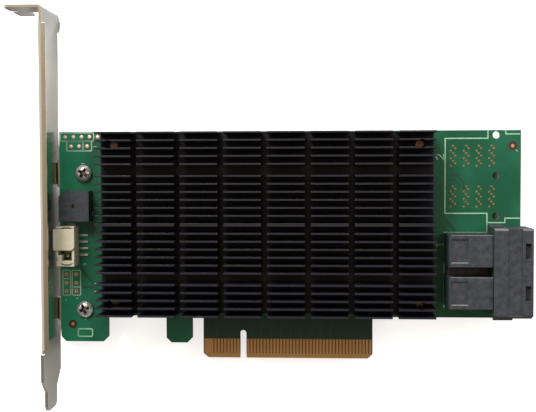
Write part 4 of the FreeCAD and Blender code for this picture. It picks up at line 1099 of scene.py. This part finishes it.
# The four-pin header: an ivory moulding with bent tinned pins and two solder anchors. A flat cap
# is snapped over its mouth, so that a placing machine's nozzle can hold it.
ivory_finish = finish(
    "ivory_moulding",
    (206, 199, 176),
    (197, 190, 167),
    (226, 220, 200),
    (0.38, 0.5),
    dirt=1.0,
    patch_size=2.5 * MM,
    grain_size=0.25 * MM,
    grain_depth=0.008 * MM,
    rubbing=0.4,
    edge_radius=0.1 * MM,
)
rounded("header_housing", "header_housing_moulding", 0.08 * MM, ivory_finish, "header_moulding")
rounded("header_cap", "header_cap_moulding", 0.12 * MM, ivory_finish, "header_moulding")
for node in ("header_pins", "header_anchors"):
    dress(node, tin_finish)


# The two drive ports: glass-filled black mouldings, one shared frame and a contact block for each
# port, with eroded texture. A painted highlight makes the upper rims pale, and painted shade makes
# the lower rims and the rear faces dark. A low ribbed spacer fills the gap between the blocks, and
# a stepped lip runs along the frame's lower side, whose slope takes the lower rims' painted shade.
PAINTED_RIM_HIGHLIGHT = (112, 113, 112)
PAINTED_LOWER_RIM_SHADE = (20, 22, 26)
PAINTED_REAR_SHADE = (48, 60, 62)
SLOPE = 0.2
LATCH_START = 81.9 * MM
RIM_FOOT = 11.5 * MM
FRAME_SIDE = 39.6 * MM
SIDE_DEPTH = 0.3 * MM
socket_finish = finish(
    "glass_filled_moulding",
    (64, 68, 77),
    (32, 35, 43),
    (150, 152, 154),
    (0.34, 0.6),
    dirt=1.5,
    patch_size=1.5 * MM,
    grain_size=0.16 * MM,
    grain_depth=0.03 * MM,
    rubbing=0.6,
    edge_radius=0.1 * MM,
)
tree = socket_finish.node_tree
shader = tree.nodes["Principled BSDF"]
facing = split(tree, wire(tree, "NewGeometry").outputs["True Normal"])
# Painted highlight on the upper rims and along the frame's top, painted shade on the lower rims and the
# rear faces.
upward = measure(tree, "GREATER_THAN", facing["Z"], SLOPE)
upper_rim_highlight = measure(tree, "MULTIPLY", upward, measure(tree, "GREATER_THAN", facing["Y"], SLOPE))
lower_rim_shade = measure(tree, "MULTIPLY", upward, measure(tree, "LESS_THAN", facing["Y"], -SLOPE))
rear_face_shade = measure(tree, "LESS_THAN", facing["X"], -0.7)
where = split(tree, place_on(tree))
before_latch = measure(tree, "LESS_THAN", where["X"], LATCH_START)
near_top = measure(tree, "GREATER_THAN", where["Z"], RIM_FOOT)
frame_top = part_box("socket_frame")[1].z
side_top_highlight = measure(
    tree,
    "MULTIPLY",
    measure(tree, "GREATER_THAN", where["Y"], FRAME_SIDE),
    measure(tree, "GREATER_THAN", where["Z"], frame_top - SIDE_DEPTH),
)
upper_rim_highlight = measure(tree, "MULTIPLY", measure(tree, "MULTIPLY", upper_rim_highlight, before_latch), near_top)
upper_rim_highlight = measure(tree, "MAXIMUM", upper_rim_highlight, side_top_highlight)
tint = shader.inputs["Base Color"].links[0].from_socket
tint = blend(tree, upper_rim_highlight, tint, paint(*PAINTED_RIM_HIGHLIGHT))
tint = blend(tree, lower_rim_shade, tint, paint(*PAINTED_LOWER_RIM_SHADE))
tint = blend(tree, rear_face_shade, tint, paint(*PAINTED_REAR_SHADE))
tree.links.new(tint, shader.inputs["Base Color"])
rounded("socket_frame", "socket_frame_moulding", 0.25 * MM, socket_finish, "socket_moulding")
for node in ("contact_block_upper", "contact_block_lower"):
    rounded(node, node + "_moulding", 0.35 * MM, socket_finish, "socket_moulding")

SPACER_LEFT = 60.9 * MM
SPACER_RIGHT = 73.2 * MM
SPACER_TOP = FACE + 4.8 * MM
SPACER_PLAY = 0.1 * MM
RIB_COUNT = 4
RIB_START = 0.5
RIB_PITCH = 0.55
RIB_WIDTH = 0.25 * MM
RIB_RISE = 0.5 * MM
gap_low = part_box("contact_block_lower")[1].y
gap_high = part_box("contact_block_upper")[0].y
spacer = bmesh.new()
middle = (gap_low + gap_high) / 2
across = gap_high - gap_low - SPACER_PLAY
draw_line(spacer, [(SPACER_LEFT, middle), (SPACER_RIGHT, middle)], across, FACE, SPACER_TOP)
for step in range(RIB_COUNT):
    x = SPACER_RIGHT - (RIB_START + RIB_PITCH * step) * MM
    rib = [(x, middle - across * 0.35), (x, middle + across * 0.35)]
    draw_line(spacer, rib, RIB_WIDTH, SPACER_TOP, SPACER_TOP + RIB_RISE)
mounted(new_piece("port_spacer", spacer, socket_finish), "socket_moulding")

lip = bmesh.new()
LIP_FOOT = 14.85
LIP_LOW = 9.4
LIP_BEND = 11.0
LIP_HIGH = 12.0
LIP_STEPS = [(73.4, 78.8, 1.25), (78.8, 84.3, 0.75)]
for left, right, reach in LIP_STEPS:
    outer = LIP_FOOT - reach
    section = [(LIP_FOOT, LIP_LOW), (outer, LIP_LOW), (outer, LIP_BEND), (LIP_FOOT, LIP_HIGH)]
    ends = [[lip.verts.new((x * MM, y * MM, z * MM)) for y, z in section] for x in (left, right)]
    lip.faces.new(ends[0])
    lip.faces.new(list(reversed(ends[1])))
    for side in range(4):
        other = (side + 1) % 4
        lip.faces.new((ends[0][side], ends[0][other], ends[1][other], ends[1][side]))
mounted(new_piece("frame_lip", lip, socket_finish), "socket_moulding")


# The ports' press-fit tails, which come out of the solder side of the board in the same pattern
# as the free port's vias, each a flat gold-plated pin with a blunt point.
FITTED_SHIFT = -27.8
TAIL_LENGTH = 1.1 * MM
TAIL_HALF = 0.2 * MM
TAIL_TAPER = 0.25 * MM
tail_profile = [
    (0, -TAIL_LENGTH),
    (TAIL_HALF * 0.5, -TAIL_LENGTH),
    (TAIL_HALF, -TAIL_LENGTH + TAIL_TAPER),
    (TAIL_HALF, 0),
    (0, 0),
]
tail = turned("tail", tail_profile, 4)
tail_spots = at_height(via_pattern(FITTED_SHIFT), REAR)
mounted(repeat("press_fit_tails", tail, tail_spots, plated_finish), "gold_contacts")
ring = ring_shape("ring", VIA_RADIUS * 1.2, TAIL_HALF, PAD_HEIGHT / 2, 12)
ring_spots = at_height(via_pattern(FITTED_SHIFT), REAR - PAD_HEIGHT / 2)
mounted(repeat("tail_rings", ring, ring_spots, plated_finish), "gold_contacts")


# The studio: a pale floor with a soft painted shade of the card on it, and a surround that is dim
# and warm overhead, where the ceiling is, and bright round the sides. Two soft lamps stand above the
# card, the stronger one to the upper left. Reflections and bounced light see the floor in several
# tones, a painted reflection for the bracket, while the camera sees it pale.
FLOOR_SIZE = 4.0
FLOOR_BELOW = 0.05 * MM
FLOOR_GLOW = 0.66
WHITE = (1, 1, 1, 1)
PALE_FLOOR = (0.9, 0.9, 0.9, 1)
SHADED_FLOOR = (0.12, 0.1, 0.09, 1)
NEAR_REFLECTED_TONE = (0.6, 0.61, 0.62, 1)
MIDDLE_REFLECTED_TONE = (0.96, 0.97, 0.98, 1)
FAR_REFLECTED_TONE = (0.48, 0.485, 0.49, 1)
LEFT_REFLECTED_TONE = (0.16, 0.14, 0.126, 1)
FAR_LEFT_REFLECTED_TONE = (0.8, 0.7, 0.56, 1)
BRACKET_SHADE = ((-60.0, -50.0, 1.5), (5.0, 67.0, 3.0))
CARD_SHADE = ((-62.0, 84.0, 8.0), (12.0, 70.5, 8.0))
floor_level = cad_box[0].z - FLOOR_BELOW
bpy.ops.mesh.primitive_plane_add(size=FLOOR_SIZE, location=(0, 0, floor_level))
floor = bpy.context.object
floor.name = "floor"
floor_finish, tree, shader = new_material("pale_floor")
shader.inputs["Roughness"].default_value = 0.9
shader.inputs["Specular IOR Level"].default_value = 0.0
seen = wire(tree, "LightPath").outputs["Is Camera Ray"]
where = split(tree, place_on(tree))
# Painted reflection: tones of the floor that only reflections and bounced light see, set for what the
# bracket reflects.
reflected_floor = blend(tree, ramp(tree, where["Y"], 0, 80 * MM), NEAR_REFLECTED_TONE, MIDDLE_REFLECTED_TONE)
reflected_floor = blend(tree, ramp(tree, where["Y"], 88 * MM, 104 * MM), reflected_floor, FAR_REFLECTED_TONE)
reflected_floor = blend(tree, ramp(tree, where["X"], -60 * MM, -75 * MM), reflected_floor, LEFT_REFLECTED_TONE)
reflected_floor = blend(tree, ramp(tree, where["X"], -78 * MM, -95 * MM), reflected_floor, FAR_LEFT_REFLECTED_TONE)


def inside(across, low, high, soft):
    """1 between two places along an axis, falling softly to 0 towards them."""
    middle = (low + high) / 2
    away = measure(tree, "ABSOLUTE", measure(tree, "SUBTRACT", across, middle * MM))
    half = (high - low) / 2
    return ramp(tree, away, half * MM, (half - soft) * MM, curve="SMOOTHSTEP")


def shaded(along_x, along_y):
    """1 in a rectangle of the floor with soft sides."""
    return measure(tree, "MULTIPLY", inside(where["X"], *along_x), inside(where["Y"], *along_y))


# Painted shade: the floor is darker, and does not glow, in a rectangle under the card and a strip by
# the bracket.
shade = measure(tree, "MAXIMUM", shaded(*BRACKET_SHADE), shaded(*CARD_SHADE))
pale = blend(tree, shade, PALE_FLOOR, SHADED_FLOOR)
tree.links.new(blend(tree, seen, reflected_floor, pale), shader.inputs["Base Color"])
clear = measure(tree, "SUBTRACT", 1.0, shade)
strength = measure(tree, "MULTIPLY", measure(tree, "MULTIPLY", seen, clear), FLOOR_GLOW)
glow = wire(tree, "Emission", {"Color": WHITE, "Strength": strength})
both = wire(tree, "AddShader", {0: shader.outputs[0], 1: glow.outputs[0]})
tree.links.new(both.outputs[0], tree.nodes["Material Output"].inputs["Surface"])
floor.data.materials.append(floor_finish)

CEILING_NEAR = (0.124, 0.08, 0.048, 1)
CEILING_FAR = (0.76, 0.61, 0.35, 1)
WALL_NEAR = (0.38, 0.39, 0.42, 1)
WALL_FAR = (0.7, 0.71, 0.74, 1)
WALL_LEFT = (0.96, 0.9, 0.8, 1)
world = bpy.data.worlds.new("studio")
bpy.context.scene.world = world
world.use_nodes = True
tree = world.node_tree
background = tree.nodes["Background"]
way = split(tree, wire(tree, "TexCoord").outputs["Generated"])
far_side = ramp(tree, way["Y"], -0.35, 0.3)
overhead = blend(tree, far_side, CEILING_NEAR, CEILING_FAR)
around = blend(tree, far_side, WALL_NEAR, WALL_FAR)
around = blend(tree, ramp(tree, way["X"], -0.4, -0.8), around, WALL_LEFT)
surround = blend(tree, ramp(tree, way["Z"], 0.97, 0.45), overhead, around)
direct = wire(tree, "LightPath").outputs["Is Camera Ray"]
tree.links.new(blend(tree, direct, surround, WHITE), background.inputs["Color"])
background.inputs["Strength"].default_value = 1.0


def lamp(name, spot, aim, size, power):
    """A soft rectangular lamp that looks at a point of the card."""
    light = bpy.data.lights.new(name, "AREA")
    light.shape = "SQUARE"
    light.size = size
    light.energy = power
    holder = bpy.data.objects.new(name, light)
    bpy.context.scene.collection.objects.link(holder)
    holder.location = spot
    holder.rotation_euler = (Vector(aim) - Vector(spot)).to_track_quat("-Z", "Y").to_euler()


CARD_MIDDLE = (0.01, 0.045, 0)
lamp("key_lamp", (-0.25, 0.6, 0.52), CARD_MIDDLE, 0.3, 6.5)
lamp("fill_lamp", (0.6, 0.3, 0.45), CARD_MIDDLE, 0.4, 2.0)


# The camera stands where the photograph was taken from, almost straight above the card. Its lens
# gives the photograph's width of view, and its three directions were worked out from the photograph.
LENS_LENGTH = 63.79
FILM_WIDTH = 36
CAMERA_SPOT = (0.023926, 0.057400, 0.287287)
CAMERA_RIGHT = (0.998390, -0.002498, -0.056673)
CAMERA_UP = (0.000300, 0.999248, -0.038770)
CAMERA_BACK = (0.056727, 0.038690, 0.997640)
camera_data = bpy.data.cameras.new("camera")
camera = bpy.data.objects.new("camera", camera_data)
bpy.context.scene.collection.objects.link(camera)
camera_data.sensor_fit = "HORIZONTAL"
camera_data.sensor_width = FILM_WIDTH
camera_data.lens = LENS_LENGTH
camera_data.clip_start = 0.01
camera_turn = Matrix((CAMERA_RIGHT, CAMERA_UP, CAMERA_BACK)).transposed().to_4x4()
camera.matrix_world = Matrix.Translation(CAMERA_SPOT) @ camera_turn
bpy.context.scene.camera = camera
bpy.context.scene.view_settings.view_transform = "Standard"
